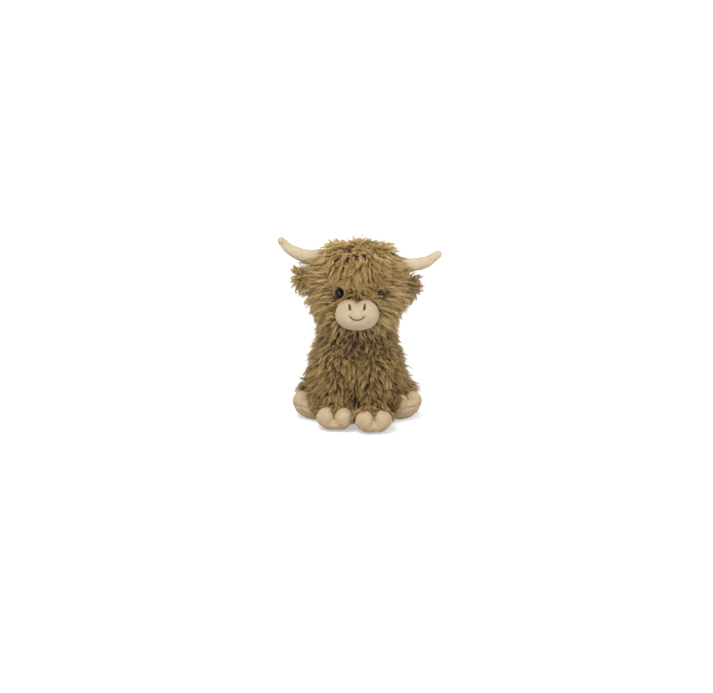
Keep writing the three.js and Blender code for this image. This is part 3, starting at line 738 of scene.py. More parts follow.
@dataclass
class Fur:
    """Strands of pile."""

    paths: Array  # strands by points by 3
    tones: Array
    thickness: float
    # how far up the painted root shade a strand starts, so that it is lighter where the pile lies open
    root: float = 0.0  # how far up a strand's shading its root starts, where the pile lies open

    def chosen(self, keep: Array) -> "Fur":
        """The strands that keep marks."""
        return replace(self, paths=self.paths[keep], tones=self.tones[keep])

    def with_more(self, other: "Fur") -> "Fur":
        """These strands and another coat's, at this one's thickness."""
        paths, tones = np.vstack([self.paths, other.paths]), np.hstack([self.tones, other.tones])
        return replace(self, paths=paths, tones=tones)

    def thinned(self) -> "Fur":
        """The same pile, thinned evenly where it has too many strands for one piece."""
        count = len(self.paths)
        return self.chosen(np.linspace(0, count - 1, min(count, MOST_STRANDS)).astype(int))

    def lifted_off(self, skin: Skin, margin: float) -> None:
        """Moves what is inside a skin, or closer to it than margin, out to margin."""
        low, high = skin.points.min(axis=0) - margin, skin.points.max(axis=0) + margin
        flat = self.paths.reshape(-1, 3)
        near = np.flatnonzero(((flat > low) & (flat < high)).all(axis=1))
        if len(near):
            height, normals, places = skin.depth_of(flat[near])
            short = height < margin
            flat[near[short]] = places[short] + normals[short] * margin
        self.paths = flat.reshape(self.paths.shape)

    def on_the_floor(self) -> None:
        """Keeps every strand over the floor."""
        self.paths[..., 2] = np.maximum(self.paths[..., 2], self.thickness / 2.0 + FLOOR_GAP)

    def skin(self, rng: np.random.Generator) -> tuple[Skin, Array]:
        """The strands as closed three-sided spindles.

        Args:
            rng: The random numbers to use.

        Returns:
            The skin, and each point's place in the strand map.
        """
        count = len(self.paths)
        along = unit(np.gradient(self.paths, axis=1))
        side = unit(np.cross(along, unit(rng.normal(size=(count, 1, 3)))))
        up = np.cross(along, side)
        widths = self.thickness / 2.0 * rng.uniform(0.75, 1.2, (count, 1)) * TAPER
        turn = (np.arange(SIDES) * 2.0 * math.pi / SIDES)[:, None]
        around = np.cos(turn) * side[:, :-1, None, :] + np.sin(turn) * up[:, :-1, None, :]
        rings = self.paths[:, :-1, None, :] + widths[:, :, None, None] * around
        points = np.concatenate([rings.reshape(count, -1, 3), self.paths[:, -1:, :]], axis=1)
        tip = (STEPS - 1) * SIDES
        faces = [[0, 2, 1]]
        for row in range(STEPS - 2):
            for k in range(SIDES):
                a, b = SIDES * row + k, SIDES * row + (k + 1) % SIDES
                faces += [[a, b, b + SIDES], [a, b + SIDES, a + SIDES]]
        faces += [[tip - SIDES + k, tip - SIDES + (k + 1) % SIDES, tip] for k in range(SIDES)]
        per_strand = tip + 1
        all_faces = np.array(faces)[None] + (np.arange(count) * per_strand)[:, None, None]
        share = np.append(np.repeat(np.arange(STEPS - 1), SIDES), STEPS - 1) / (STEPS - 1)
        nudge = np.append(np.tile(SIDE_TONES, STEPS - 1), 0.0)
        maps = np.empty((count, per_strand, 2))
        maps[..., 0] = np.clip(self.tones[:, None] + nudge, *MAP_EDGES[0])
        # up the map runs the painted root shade, from where this strand's root starts on it
        maps[..., 1] = np.clip(self.root + (1.0 - self.root) * share, *MAP_EDGES[1])
        return Skin(points.reshape(-1, 3), all_faces.reshape(-1, 3)), maps.reshape(-1, 2)


def combed(
    skin: Skin, coat: Coat, flow: Flow, roots: Array, normals: Array, seed: int, rng: np.random.Generator
) -> tuple[Array, Array, Array]:
    """The middle lines of locks, which rise from a skin and lie down along a flow.

    Args:
        skin: The backing that they grow on.
        coat: How they grow.
        flow: The way that they lie, as in grown.
        roots: Where they grow.
        normals: The skin's outward normals there.
        seed: The seed of the patches in which they turn from their lay.
        rng: The random numbers to use.

    Returns:
        The lines as locks by points by 3, their lengths, and the lay at their roots.
    """
    count = len(roots)
    first = flow(roots, normals)
    length = coat.length * (1.0 + coat.uneven * rng.uniform(-1.0, 1.0, count)) * np.linalg.norm(first, axis=1)
    turn = coat.swirl * 1.6 * swell(roots, coat.patch, float(seed)) + rng.normal(0.0, coat.stray, count)
    ruffle = rng.normal(0.0, coat.ruffle, count)
    cosine, sine = np.cos(np.radians(turn))[:, None], np.sin(np.radians(turn))[:, None]

    point, normal, line = roots, normals, [roots]
    for step in range(GUIDE_STEPS):
        heading = flow(point, normal)
        lay = unit(heading - normal * np.einsum("ij,ij->i", heading, normal)[:, None])
        lay = lay * cosine + np.cross(normal, lay) * sine
        if step == 0:
            lay_at_root = lay
        share = ((step + 0.5) / GUIDE_STEPS) ** 0.7
        lift = np.radians(coat.root_lift + (coat.tip_lift - coat.root_lift) * share + ruffle)[:, None]
        outwards = np.maximum(np.einsum("ij,ij->i", unit(heading), normal), 0.0)[:, None]
        own_way = coat.follow * share * outwards
        way = unit((lay * np.cos(lift) + normal * np.sin(lift)) * (1.0 - own_way) + unit(heading) * own_way)
        point = point + way * (length / GUIDE_STEPS)[:, None]
        line.append(point)
        _, normal, _ = skin.depth_of(point)
    return np.stack(line, axis=1), length, lay_at_root


def grown(skin: Skin, coat: Coat, flow: Flow, wanted: Choice, tone: Tone, seed: int) -> Fur:
    """Grows a coat of pile out of a skin, lock by lock.

    Args:
        skin: The backing that it grows on.
        coat: How it grows.
        flow: The way that it lies at points with given normals. The length is the share of the coat's length.
        wanted: Which roots, at points with given normals, to keep.
        tone: The shade at points, from 0 to 1.
        seed: The seed of its random numbers.

    Returns:
        The strands.
    """
    rng = np.random.default_rng(seed)
    roots, normals = skin.scattered(coat.spacing, rng)
    keep = wanted(roots, normals)
    roots, normals = roots[keep], normals[keep]
    guide, length, lay = combed(skin, coat, flow, roots, normals, seed, rng)
    across = np.cross(normals, lay)
    count = len(roots)
    shape = (count, coat.strands)
    along = np.linspace(0.0, 1.0, STEPS)

    # the strands of a lock run along its middle line, some of them shorter or longer
    reach = rng.uniform(0.7, 1.06, shape)
    place = along * reach[..., None] * GUIDE_STEPS
    before = np.minimum(place.astype(int), GUIDE_STEPS - 1)
    part = (place - before)[..., None]
    lock = np.arange(count)[:, None, None]
    paths = guide[lock, before] * (1.0 - part) + guide[lock, before + 1] * part

    # they stand apart at their roots and draw together towards their tips
    distance = coat.spacing * 0.68 * np.sqrt(rng.random(shape))
    angle = rng.uniform(0.0, 2.0 * math.pi, shape)
    spread = distance * np.cos(angle), distance * np.sin(angle)
    root_offset = spread[0][..., None] * lay[:, None] + spread[1][..., None] * across[:, None]
    loose = rng.random(shape) < coat.loose
    gather = np.where(loose, coat.gather * 0.3, coat.gather)[..., None] * along**0.7
    paths = paths + root_offset[:, :, None, :] * (1.0 - gather)[..., None]

    # they wave with their lock, and their tips are blown aside
    phase = rng.uniform(0.0, 2.0 * math.pi, count)[:, None] + rng.normal(0.0, 0.5, shape)
    wave = 2.0 * math.pi * along * (reach * length[:, None])[..., None] / coat.wave_length + phase[..., None]
    size = coat.wave * np.sqrt(along)
    paths += (size * np.sin(wave))[..., None] * across[:, None, None, :]
    paths += (0.5 * size * np.cos(wave))[..., None] * normals[:, None, None, :]
    blown = rng.normal(0.0, coat.scatter, (*shape, 1, 3)) * np.where(loose, 2.2, 1.0)[..., None, None]
    paths += blown * (along**1.5)[None, None, :, None]

    lock_tones = tone(roots) + rng.normal(0.0, coat.lock_shade, count)
    tones = lock_tones[:, None] + rng.normal(0.0, coat.strand_shade, shape)
    fur = Fur(paths.reshape(-1, STEPS, 3), np.clip(tones.ravel(), 0.0, 1.0), coat.thickness)
    fur.on_the_floor()
    return fur


GOLDEN = 0.56  # the usual tone of the pile
# partly painted light: the head's pile is paler than the body's, with light from above painted into its tone
BRIGHT = 0.74  # its tone on the head, which is brushed open
MAUVE = 0.12  # the tone of its mauve-brown patches
LEAST_TONE = 0.24  # outside those patches
# painted light: the pile is paler on top of the head, where the light falls from above
CROWN_PAINTED_LIGHT = 0.24  # by which the pile is paler on top of the head
CROWN = (228.0, 248.0)  # the heights between which that sets in


def toned(patches: Iterable[tuple[tuple[float, float, float], float]], usual: float = GOLDEN) -> Tone:
    """A tone that drifts about the usual one, and is mauve-brown near given middles within given radii."""

    def tone(points: Array) -> Array:
        """The tone at points."""
        made = usual + 0.3 * swell(points, 30.0, 3.0) + 0.2 * swell(points, 11.0, 7.0)
        # painted light on top of the head
        made = made + CROWN_PAINTED_LIGHT * eased(points[:, 2], *CROWN)
        made = np.maximum(made, LEAST_TONE)
        for middle, radius in patches:
            ragged = 1.0 + 0.4 * swell(points, 9.0, 5.0)
            distance = np.linalg.norm(points - np.array(middle), axis=1) * ragged
            made = made + (MAUVE - made) * eased(radius - distance, -4.0, 3.0)
        return made

    return tone


def fur_piece(name: str, body: str, fur: Fur, stands_for: tuple[str, ...], seed: int) -> bpy.types.Object:
    """Makes a piece of pile, which stands for the frame's pile nodes."""
    skin, maps = fur.thinned().skin(np.random.default_rng(seed))
    return Piece(name, body, FUR, Slot.LONG_PILE, stands_for).made_from(skin, maps)


BACKING_DEPTH = 8.5  # of the backing under the frame's pile, which reaches to the middle of the hair tips


# Sub-assemblies


@dataclass
class Hoof:
    """A stuffed hoof of cream plush: two round toes parted by a pulled cleft, over a plain band.

    A level hoof lies about its own middle, with its toes towards -Y.
    """

    middle: Array
    turn: float = 0.0  # degrees about Z
    pitch: float = 0.0  # degrees by which its toes are raised
    half_width: float = 26.0
    half_length: float = 22.0
    half_height: float = 17.5
    floor_flat: float = 0.5
    toe_spacing: float = 23.6
    toe_forward: float = 7.0
    toe_up: float = 3.4
    toe_radii: tuple[float, float, float] = (13.0, 14.2, 12.6)
    cleft: float = 0.36  # share of the hoof's reach that the cleft takes
    cleft_width: float = 8.0
    fullness: float = 2.3  # 2 is an ellipsoid, and more is squarer
    toe_share: float = 0.02  # by which the band lies in from the toes
    toe_sharpness: float = 14.0  # of the fold between a toe and what is beside it
    band: float = 0.05  # share of the reach by which the band's seam is drawn in
    lump: float = 0.012  # share by which the stuffing is uneven
    cut_small: float = 1.9  # which the stuffing makes up
    slack: float = 0.06
    most_stuffed: float = 2.2

    @classmethod
    def height(cls, pitch: float) -> float:
        """How high its middle stands with its toes raised by a pitch in degrees."""
        angle = math.radians(pitch)
        up, along = cls.half_height * math.cos(angle), cls.half_length * math.sin(angle)
        return math.hypot(up, along) - cls.floor_flat

    def placed(self, points: Array) -> Array:
        """Points of the level hoof, pitched, turned and put in place."""
        return turned_about_z(turned_about_x(points, -self.pitch), self.turn) + self.middle

    def local(self, points: Array) -> Array:
        """Where points are in the level hoof."""
        return turned_about_x(turned_about_z(points - self.middle, -self.turn), self.pitch)

    def under(self, points: Array) -> Array:
        """Which points are in the hoof's lower part, or under it."""
        x, y, z = self.local(points).T
        return (np.abs(x) < self.half_width + 1.0) & (y > -24.0) & (y < 16.0) & (z < -4.0)

    def toe_reach(self, ways: Array, side: float) -> Array:
        """How far the hoof's middle is from the far side of a toe, along unit vectors."""
        toe = np.array([side * self.toe_spacing / 2.0, -self.toe_forward, self.toe_up])
        radii = np.array(self.toe_radii)
        a = ((ways / radii) ** 2).sum(axis=1)
        b = (ways * toe / radii**2).sum(axis=1)
        c = ((toe / radii) ** 2).sum() - 1.0
        return (b + np.sqrt(np.maximum(b * b - a * c, 0.0))) / a

    @cached_property
    def skin(self) -> Skin:
        """The hoof's surface: cut a little small, then stuffed."""
        skin = globe(80, 52)
        ways = unit(skin.points)
        # how far the squared body reaches along each way, drawn in over the band and at the cleft
        size = np.array([self.half_width, self.half_length, self.half_height]) - self.cut_small
        sole = (np.abs(ways / size) ** self.fullness).sum(axis=1) ** (-1.0 / self.fullness)
        across = ways[:, 0] * sole
        front = eased(-ways[:, 1], -0.25, 0.5)
        over_band = front * eased(ways[:, 2], -0.62, -0.15)
        cleft = self.cleft * np.exp(-((across / self.cleft_width) ** 2)) * eased(ways[:, 2], -0.2, 0.45)
        sole = sole * (1.0 - (cleft + self.toe_share) * over_band)
        # the toes are joined to it with a soft fold, and the band's seam runs round under them
        reaches = np.stack([sole, self.toe_reach(ways, -1.0), self.toe_reach(ways, 1.0)])
        reach = (reaches**self.toe_sharpness).sum(axis=0) ** (1.0 / self.toe_sharpness)
        band = self.band * np.exp(-(((ways[:, 2] + 0.5) / 0.07) ** 2)) * front
        level = ways * (reach * (1.0 - band))[:, None]
        level *= 1.0 + self.lump * swell(level, 9.0, self.middle[0])[:, None]
        # stitches hold it in the cleft, at the band's seam and where it lies on the floor or under the pile
        x, y, z = level.T
        pulled = np.exp(-((x / 1.3) ** 2)) * (y < -4.0) * (z > 2.0)
        band_seam = 0.8 * (np.abs(z + 8.5) < 0.7) * (y < 6.0)
        hidden = ((z < -15.0) | (y > 14.0)).astype(float)
        skin.points = level
        stuffed(skin, np.maximum.reduce([pulled, band_seam, hidden]), self.slack, self.most_stuffed)
        skin.points[:, 2] = np.maximum(skin.points[:, 2], -self.half_height + self.floor_flat)
        skin.points = self.placed(skin.points)
        skin.points[:, 2] = np.maximum(skin.points[:, 2], 0.0)
        return skin


@dataclass
class Leg:
    """A leg of long pile over its stuffing, with its hoof."""

    name: str
    path: Array
    radii: tuple[float, float]
    hoof: Hoof
    draped: float  # how far the pile reaches forwards over the hoof, from its middle
    covered: float  # how far from the hoof's middle its inner side is covered
    seed: int
    inner_slope: float = 0.65  # by which the pile covers less of that side lower down

    def skin(self) -> Skin:
        """The leg's backing."""
        radii = [radius - BACKING_DEPTH for radius in self.radii]
        return tube(self.path, radii, 28, 26)

    @property
    def side(self) -> float:
        """1 for a leg on the toy's left, and -1 on its right."""
        return math.copysign(1.0, self.hoof.middle[0])

    def flow(self, points: Array, normals: Array) -> Array:
        """Down the leg, and a little outwards."""
        line = evenly(spline(self.path, 60), 40)
        along = unit(np.gradient(line, axis=0))
        nearest = np.argmin(np.linalg.norm(points[:, None] - line[None], axis=2), axis=1)
        share = nearest / (len(line) - 1.0)
        outwards = vector_of(0.35 * self.side, 0.0, -0.15 - 0.5 * eased(share, 0.8, 1.0), points)
        return unit(along[nearest] + outwards) * (1.05 - 0.2 * eased(share, 0.55, 1.0))[:, None]

    def over_hoof(self, points: Array, normals: Array) -> Array:
        """The part of the hoof that the pile is sewn over: its back, its cleft and its inner side."""
        x, y, z = self.hoof.local(points).T
        back = y > 1.0 - self.draped * eased(z, 3.0, 9.0)
        cleft = (np.abs(x) < 5.0) & (z > 3.0) & (y > -13.0)
        return (back | cleft | self.inside(x, z)) & (points[:, 2] > 2.5)

    def inside(self, x: Array, z: Array) -> Array:
        """Which points of the level hoof are on its inner side, where the pile covers it."""
        return x * self.side < -self.covered - self.inner_slope * np.maximum(8.0 - z, 0.0)

    def build(self, torso: Skin) -> None:
        """Makes the leg's pieces.

        Args:
            torso: The body's backing, which the leg is sewn to.
        """
        name, skin, hoof = self.name, self.skin(), self.hoof.skin
        backing = Piece(f"{name}_backing", name, BACKING, Slot.LONG_PILE, (f"{name}_fill",), 0.8)
        backing.made_from(skin)
        stood_for = (f"{name}_hoof", f"{name}_hoof_fill")
        Piece(f"{name}_plush_hoof", name, SHADED_HOOF_CREAM, Slot.CREAM_PLUSH, stood_for, 0.85).made_from(hoof)

        def wanted(points: Array, normals: Array) -> Array:
            """Outside the body, over the floor and not deep in the hoof."""
            outside = (torso.depth_of(points)[0] > -1.0) & (hoof.depth_of(points)[0] > -3.0)
            return outside & (points[:, 2] > 2.0)

        cuff = Coat(11.5, spacing=2.9, root_lift=46.0, tip_lift=8.0, follow=0.2, swirl=30.0)
        fur = grown(skin, Coat(20.0), self.flow, wanted, toned([]), self.seed)
        fur = fur.with_more(grown(hoof, cuff, self.flow, self.over_hoof, toned([]), self.seed + 10))
        tips = fur.paths[:, -1]
        x, y, z = self.hoof.local(tips).T
        behind = (y > 9.0) & ~self.hoof.under(tips)
        fur = fur.chosen((z > -5.0) | self.inside(x, z + 6.0) | behind)
        fur.lifted_off(hoof, 0.6)
        fur.on_the_floor()
        fur_piece(f"{name}_fur", name, fur, (f"{name}_pile",), self.seed)


@dataclass
class Torso:
    """The body: a pear of long pile over its stuffing, a round shoulder for the head, and the seat panel."""

    base_radius: float = 52.0
    hip_radius: float = 71.0
    hip_height: float = 36.0
    chest_radius: float = 65.0
    chest_height: float = 92.0
    depth_share: float = 0.93
    neck_radius: float = 57.0
    pile: float = 10.0
    floor: float = 3.6  # under the backing, over the seat panel
    middle: float = 80.0  # the height that its surface is measured from
    hair_low: float = 5.0  # no hair grows under this
    hair_top: float = 141.0  # or over this, under the head
    leg_top: float = 104.0  # over the legs' roots
    round_heights: tuple[float, float] = (92.0, 120.0)  # between these it grows as deep as it is wide
    seat_radius: float = 44.0
    seat_thickness: float = 3.0
    seam_rise: float = 14.0

    @property
    def outline(self) -> list[tuple[float, float]]:
        """The frame's outline of the body."""
        low = -self.pile - 0.5
        return [
            (0.0, low),
            (self.base_radius * 0.6, low),
            (self.base_radius + 6.0, 6.0),
            (self.hip_radius, self.hip_height),
            (self.chest_radius, self.chest_height),
            (self.neck_radius * 0.8, NECK_HEIGHT),
            (0.0, NECK_HEIGHT + 6.0),
        ]

    @property
    def shoulder_radius(self) -> float:
        """The radius of the backing's round shoulder."""
        return self.neck_radius - BACKING_DEPTH

    def skin(self) -> Skin:
        """The body's backing, with its round shoulder."""
        outline = offset_outline(self.outline, -BACKING_DEPTH, 400)
        outline[:, 1] -= self.middle
        angles = np.arctan2(outline[:, 1], outline[:, 0])
        reach = np.linalg.norm(outline, axis=1)
        angle = np.linspace(-math.pi / 2.0, math.pi / 2.0, 400)
        body = np.interp(angle, angles, reach)
        up = NECK_HEIGHT - self.middle
        ball = up * np.sin(angle) + np.sqrt(self.shoulder_radius**2 - (up * np.cos(angle)) ** 2)
        reach = np.maximum(body, ball)
        profile = np.stack([reach * np.cos(angle), reach * np.sin(angle) + self.middle], axis=1)
        profile[:, 1] = np.maximum(profile[:, 1], self.floor)
        profile = evenly(profile, 70)
        profile[[0, -1], 0] = 0.0
        shares = self.depth_share + (1.0 - self.depth_share) * eased(profile[:, 1], *self.round_heights)
        return revolved(profile, shares, 72)

    def flow(self, points: Array, normals: Array) -> Array:
        """Down and outwards, more so low down and at the shoulder, and shorter near the floor."""
        x, _, z = points.T
        low, shoulder = 1.0 - eased(z, 30.0, 90.0), eased(z, 104.0, 122.0)
        lay = vector_of((0.4 + 0.5 * low + 0.4 * shoulder) * x / 45.0, 0.0, -1.0, points)
        return unit(lay) * (1.0 - 0.2 * (1.0 - eased(z, 10.0, 40.0)))[:, None]

    def seat(self) -> None:
        """Makes the seat panel, whose edge is rolled into its seam."""
        edge = np.linspace(-math.pi / 2.0, math.pi / 2.0, 9)
        half = self.seat_thickness / 2.0
        rim = np.stack([self.seat_radius - half + half * np.cos(edge), half + half * np.sin(edge)], axis=1)
        rings = np.linspace(0.0, self.seat_radius - half, 12)[:-1]
        under = np.stack([rings, np.zeros(len(rings))], axis=1)
        over = np.stack([rings[::-1], np.full(len(rings), self.seat_thickness)], axis=1)
        skin = revolved(np.vstack([under, rim, over]), 1.0, 72)
        Piece("seat_plush", "torso", SEAT_PILE, Slot.SHORT_PILE, ("seat_panel",), 0.3).made_from(skin)

    def neck_stitches(self) -> None:
        """Makes the ring of ladder stitches that closes the neck."""
        count, half_rise, proud = 46, 1.6, 0.5
        stitches = []
        for i in range(count):
            turn = 2.0 * math.pi * (i + 0.5 * (i % 2)) / count
            line = []
            for lean, rise in ((-0.015, -half_rise), (0.0, 0.0), (0.015, half_rise)):
                height = self.seam_rise + rise
                radius = math.sqrt(self.shoulder_radius**2 - height**2) + proud
                x, y = radius * math.cos(turn + lean), radius * math.sin(turn + lean)
                line.append((x, y, NECK_HEIGHT + height))
            stitches.append(tube(np.array(line), [0.45, 0.55, 0.45], 8, 5))
        piece = Piece("neck_ladder_stitches", "neck", BROWN_THREAD, Slot.THREAD, ("neck_seam",))
        piece.made_from(Skin.joined(stitches))

    def build(self, legs: list[Leg]) -> Skin:
        """Makes the body's pieces.

        Args:
            legs: The legs that are sewn to it.

        Returns:
            The body's backing, for what is sewn to it.
        """
        skin = self.skin()
        stood_for = ("body_fill", "bean_pouch")
        Piece("body_backing", "torso", BACKING, Slot.LONG_PILE, stood_for, 0.85).made_from(skin)
        self.seat()
        self.neck_stitches()
        leg_skins = [leg.skin() for leg in legs]

        def in_legs(points: Array) -> Array:
            """Which points are inside the legs."""
            return np.any([leg.depth_of(points)[0] <= 1.0 for leg in leg_skins], axis=0)

        def up_to(top: float, points: Array, normals: Array) -> Array:
            """Which points are over the seat's edge and under a height."""
            return (points[:, 2] > self.hair_low) & (points[:, 2] < top) & (normals[:, 2] > -0.75)

        def wanted(points: Array, normals: Array) -> Array:
            """Between the floor and the head, and outside the legs."""
            return up_to(self.hair_top, points, normals) & ~in_legs(points)

        def under_legs(points: Array, normals: Array) -> Array:
            """Behind the legs, where the body shows when they are lifted."""
            return up_to(self.leg_top, points, normals) & in_legs(points)

        mauve = [((-12.0, -52.0, 120.0), 17.0), ((-44.0, -34.0, 100.0), 12.0), ((20.0, -60.0, 84.0), 10.0)]
        fur = grown(skin, Coat(21.5), self.flow, wanted, toned(mauve), 11)
        for leg in legs:
            fur = fur.chosen(~leg.hoof.under(fur.paths[:, -1]))
            fur.lifted_off(leg.hoof.skin, 0.6)
        fur.on_the_floor()
        front = fur.paths[:, 0, 1] < 0.0
        fur_piece("body_front_fur", "torso", fur.chosen(front), ("body_front_pile",), 12)
        fur_piece("body_back_fur", "torso", fur.chosen(~front), ("body_back_pile",), 13)
        hidden = grown(skin, Coat(14.0, tip_lift=8.0, ruffle=6.0), self.flow, under_legs, toned([]), 14)
        fur_piece("body_under_legs_fur", "torso", hidden, (), 15)
        return skin


@dataclass
class Muzzle:
    """The stuffed muzzle of cream plush, with its embroidered nostrils and smile."""

    middle: tuple[float, float, float] = (0.0, -69.38, 167.5)
    half_width: float = 30.0
    half_height: float = 21.5
    half_depth: float = 24.0
    fullness: float = 2.25
    dip_depth: float = 4.8
    dip_width: float = 7.0
    nostril_spacing: float = 20.8
    nostril_up: float = 14.2
    nostril_length: float = 7.6
    nostril_width: float = 3.8
    nostril_lean: float = 12.0
    mouth_width: float = 20.6
    mouth_drop: float = 5.2
    mouth_up: float = 2.6
    thread: float = 1.3
    slack: float = 0.04
    most_stuffed: float = 1.3

    def skin(self) -> Skin:
        """The muzzle's surface, with the pinch in its top edge, stuffed behind its embroidery."""
        skin = globe(96, 60)
        p = skin.points
        power = (np.abs(p) ** self.fullness).sum(axis=1) ** (1.0 / self.fullness)
        p = p / power[:, None]
        across = p[:, 0] * self.half_width
        dip = self.dip_depth * np.maximum(0.0, p[:, 2]) * np.exp(-((across / self.dip_width) ** 2))
        y = p[:, 1] * self.half_depth + 0.4 * dip
        z = p[:, 2] * self.half_height - dip
        skin.points = np.stack([across, y, z], axis=1) + np.array(self.middle)
        sewn = (y > 6.0).astype(float)
        pinch = np.exp(-((across / 1.6) ** 2)) * (z > 0.55 * self.half_height) * (y < 6.0)
        mouth = np.abs(np.hypot(across, z - self.mouth_middle) - self.mouth_radius) < 0.9
        mouth = mouth & (np.abs(across) < self.mouth_width / 2.0) & (z < self.mouth_middle) & (y < 0.0)
        aside = np.abs(across) - self.nostril_spacing / 2.0
        nostril = np.hypot(aside / self.nostril_width, (z - self.nostril_up) / self.nostril_length) < 0.5
        stitched = 0.9 * (mouth | (nostril & (y < 0.0)))
        stuffed(skin, np.maximum.reduce([sewn, pinch, stitched]), self.slack, self.most_stuffed)
        return skin

    @property
    def mouth_radius(self) -> float:
        """The radius of the smile."""
        return ((self.mouth_width / 2.0) ** 2 + self.mouth_drop**2) / (2.0 * self.mouth_drop)

    @property
    def mouth_middle(self) -> float:
        """The height of the middle of the smile's circle over the muzzle's middle."""
        return self.mouth_up - self.mouth_drop + self.mouth_radius

    def on_front(self, tree: BVHTree, x: float, z: float, proud: float) -> Array:
        """The point of the muzzle's front at x and z, stood proud of it."""
        place, normal, _, _ = tree.ray_cast(Vector((x, -200.0, z)), Vector((0.0, 1.0, 0.0)))
        return np.array(place) + np.array(normal) * proud

    def nostril(self, tree: BVHTree, hand: Hand) -> None:
        """Makes one nostril: satin stitches side by side across a leaning teardrop."""
        lean = math.radians(self.nostril_lean) * hand.side
        up = np.array([math.sin(lean), math.cos(lean)])
        across = np.array([math.cos(lean), -math.sin(lean)])
        middle = np.array([hand.side * self.nostril_spacing / 2.0, self.middle[2] + self.nostril_up])
        stitches = []
        for share in np.linspace(-0.94, 0.94, 15):
            # a teardrop: full low down, and narrow at its top
            half = self.nostril_width / 2.0 * math.sqrt(1.0 - share**2) * (1.0 - 0.22 * share)
            line = []
            for part, proud in ((-1.0, -0.2), (-0.6, 0.75), (0.0, 1.15), (0.6, 0.75), (1.0, -0.2)):
                x, z = middle + up * share * self.nostril_length / 2.0 + across * part * half
                line.append(self.on_front(tree, x, z, proud))
            stitches.append(tube(np.array(line), [0.32, 0.36, 0.32], 8, 9))
        node = f"nostril_{hand.value}"
        sewn = Piece(f"{node}_satin_stitch", "head", BROWN_THREAD, Slot.THREAD, (node,))
        sewn.made_from(Skin.joined(stitches))

    def smile(self, tree: BVHTree) -> None:
        """Makes the smile: stem stitches, each starting beside the one before."""
        radius = self.mouth_radius
        half = math.asin(self.mouth_width / 2.0 / radius)
        top = self.middle[2] + self.mouth_middle
        count = 13
        step = 2.0 * half / count
        stitches = []
        for i in range(count):
            line = []
            for share, proud in ((-0.25, 0.1), (0.1, 0.55), (0.5, 0.75), (0.9, 0.55), (1.25, 0.1)):
                angle = -half + step * (i + share)
                aside = (share - 0.5) * 0.35
                x, z = (radius + aside) * math.sin(angle), top - (radius + aside) * math.cos(angle)
                line.append(self.on_front(tree, x, z, proud))
            width = self.thread / 2.0
            stitches.append(tube(np.array(line), [width * 0.7, width, width, width * 0.7], 8, 9))
        sewn = Piece("mouth_stem_stitch", "head", BROWN_THREAD, Slot.THREAD, ("mouth_stitch",))
        sewn.made_from(Skin.joined(stitches))

    def build(self) -> Skin:
        """Makes the muzzle's pieces, and returns its surface."""
        skin = self.skin()
        stood_for = ("muzzle", "muzzle_fill")
        Piece("muzzle_plush", "head", SHADED_MUZZLE_CREAM, Slot.CREAM_PLUSH, stood_for, 0.9).made_from(skin)
        tree = skin.tree()
        for hand in Hand:
            self.nostril(tree, hand)
        self.smile(tree)
        return skin


@dataclass
class Eye:
    """A safety eye: a polished dome on a thin flange, with its shank."""

    hand: Hand
    diameter: float = 12.0
    dome: float = 5.2
    flange: float = 1.0
    spacing: float = 62.0
    shift: float = 3.0  # of both eyes to the toy's left
    rise: float = 82.6  # over the neck
    set_in: float = 6.5
    turn: float = 22.0  # degrees by which it looks outwards
    shank_diameter: float = 3.6
    shank_length: float = 11.0
    rounding: float = 0.4  # of its moulded edges
    sides: int = 48

    @property
    def parting(self) -> float:
        """How strongly the pile is parted round the eye. Hair hangs over the left one."""
        return 1.6 if self.hand is Hand.RIGHT else 0.2

    @property
    def outwards(self) -> Array:
        """The way that the eye looks."""
        turn = math.radians(self.turn)
        return np.array([self.hand.side * math.sin(turn), -math.cos(turn), 0.0])

    @property
    def place(self) -> Array:
        """The middle of the eye's flange."""
        head = Head()
        across = self.hand.side * self.spacing / 2.0 + self.shift
        surface = head.radius * head.depth_share * math.sqrt(1.0 - (across / head.radius) ** 2)
        place = np.array([across, -head.forward - surface, NECK_HEIGHT + self.rise])
        return place - self.outwards * self.set_in

    def cleared_of(self, paths: Array) -> Array:
        """The points of strands, moved aside where they would cross in front of the eye."""
        way = unit(self.outwards + np.array([0.0, -0.7, 0.3]))
        away = paths - self.place
        along = away @ way
        aside = away - along[..., None] * way
        distance = np.linalg.norm(aside, axis=-1)
        least = 7.0 if self.hand is Hand.RIGHT else 3.0
        least = least + 0.35 * np.maximum(along, 0.0)
        push = (distance < least) & (along > -3.0)
        moved = self.place + along[..., None] * way + unit(aside) * least[..., None]
        return np.where(push[..., None], moved, paths)

    def build(self) -> None:
        """Makes the eye, with the domed face and the rolled edge of a moulded one."""
        angle = np.linspace(0.0, math.pi / 2.0, 15)
        radius = self.diameter / 2.0
        dome = np.stack([radius * np.cos(angle), self.dome * np.sin(angle)], axis=1)
        shank, end, edge = self.shank_diameter / 2.0, -self.shank_length, self.rounding
        back = [(0.0, end), (shank * 0.6, end), (shank, end + 1.0)]
        back += [(shank, -self.flange - edge), (shank + edge, -self.flange)]
        back += [(radius - edge, -self.flange), (radius, -self.flange + edge)]
        skin = revolved(np.vstack([back, dome]), 1.0, self.sides)
        aside = np.cross(self.outwards, UP)
        x, y, z = (part[:, None] for part in skin.points.T)
        skin.points = self.place + x * aside + y * UP + z * self.outwards
        skin = skin.rewound(self.sides)
        node = f"eye_{self.hand.value}"
        Piece(f"{node}_dome", "head", EYE_GLOSS, Slot.EYE_PLASTIC, (node,)).made_from(skin)


@dataclass
class Crown:
    """The lean of the horns and ears to the toy's left, about a point between them."""

    tilt: float = 5.0
    rise: float = 93.0

    def leaned(self, x: float, y: float, rise: float) -> Array:
        """Where the lean takes a point of the upright head."""
        angle = math.radians(self.tilt)
        up = rise - self.rise
        turned = x * math.cos(angle) + up * math.sin(angle), y, up * math.cos(angle) - x * math.sin(angle)
        return np.array(turned) + (NECK_HEIGHT + self.rise) * UP


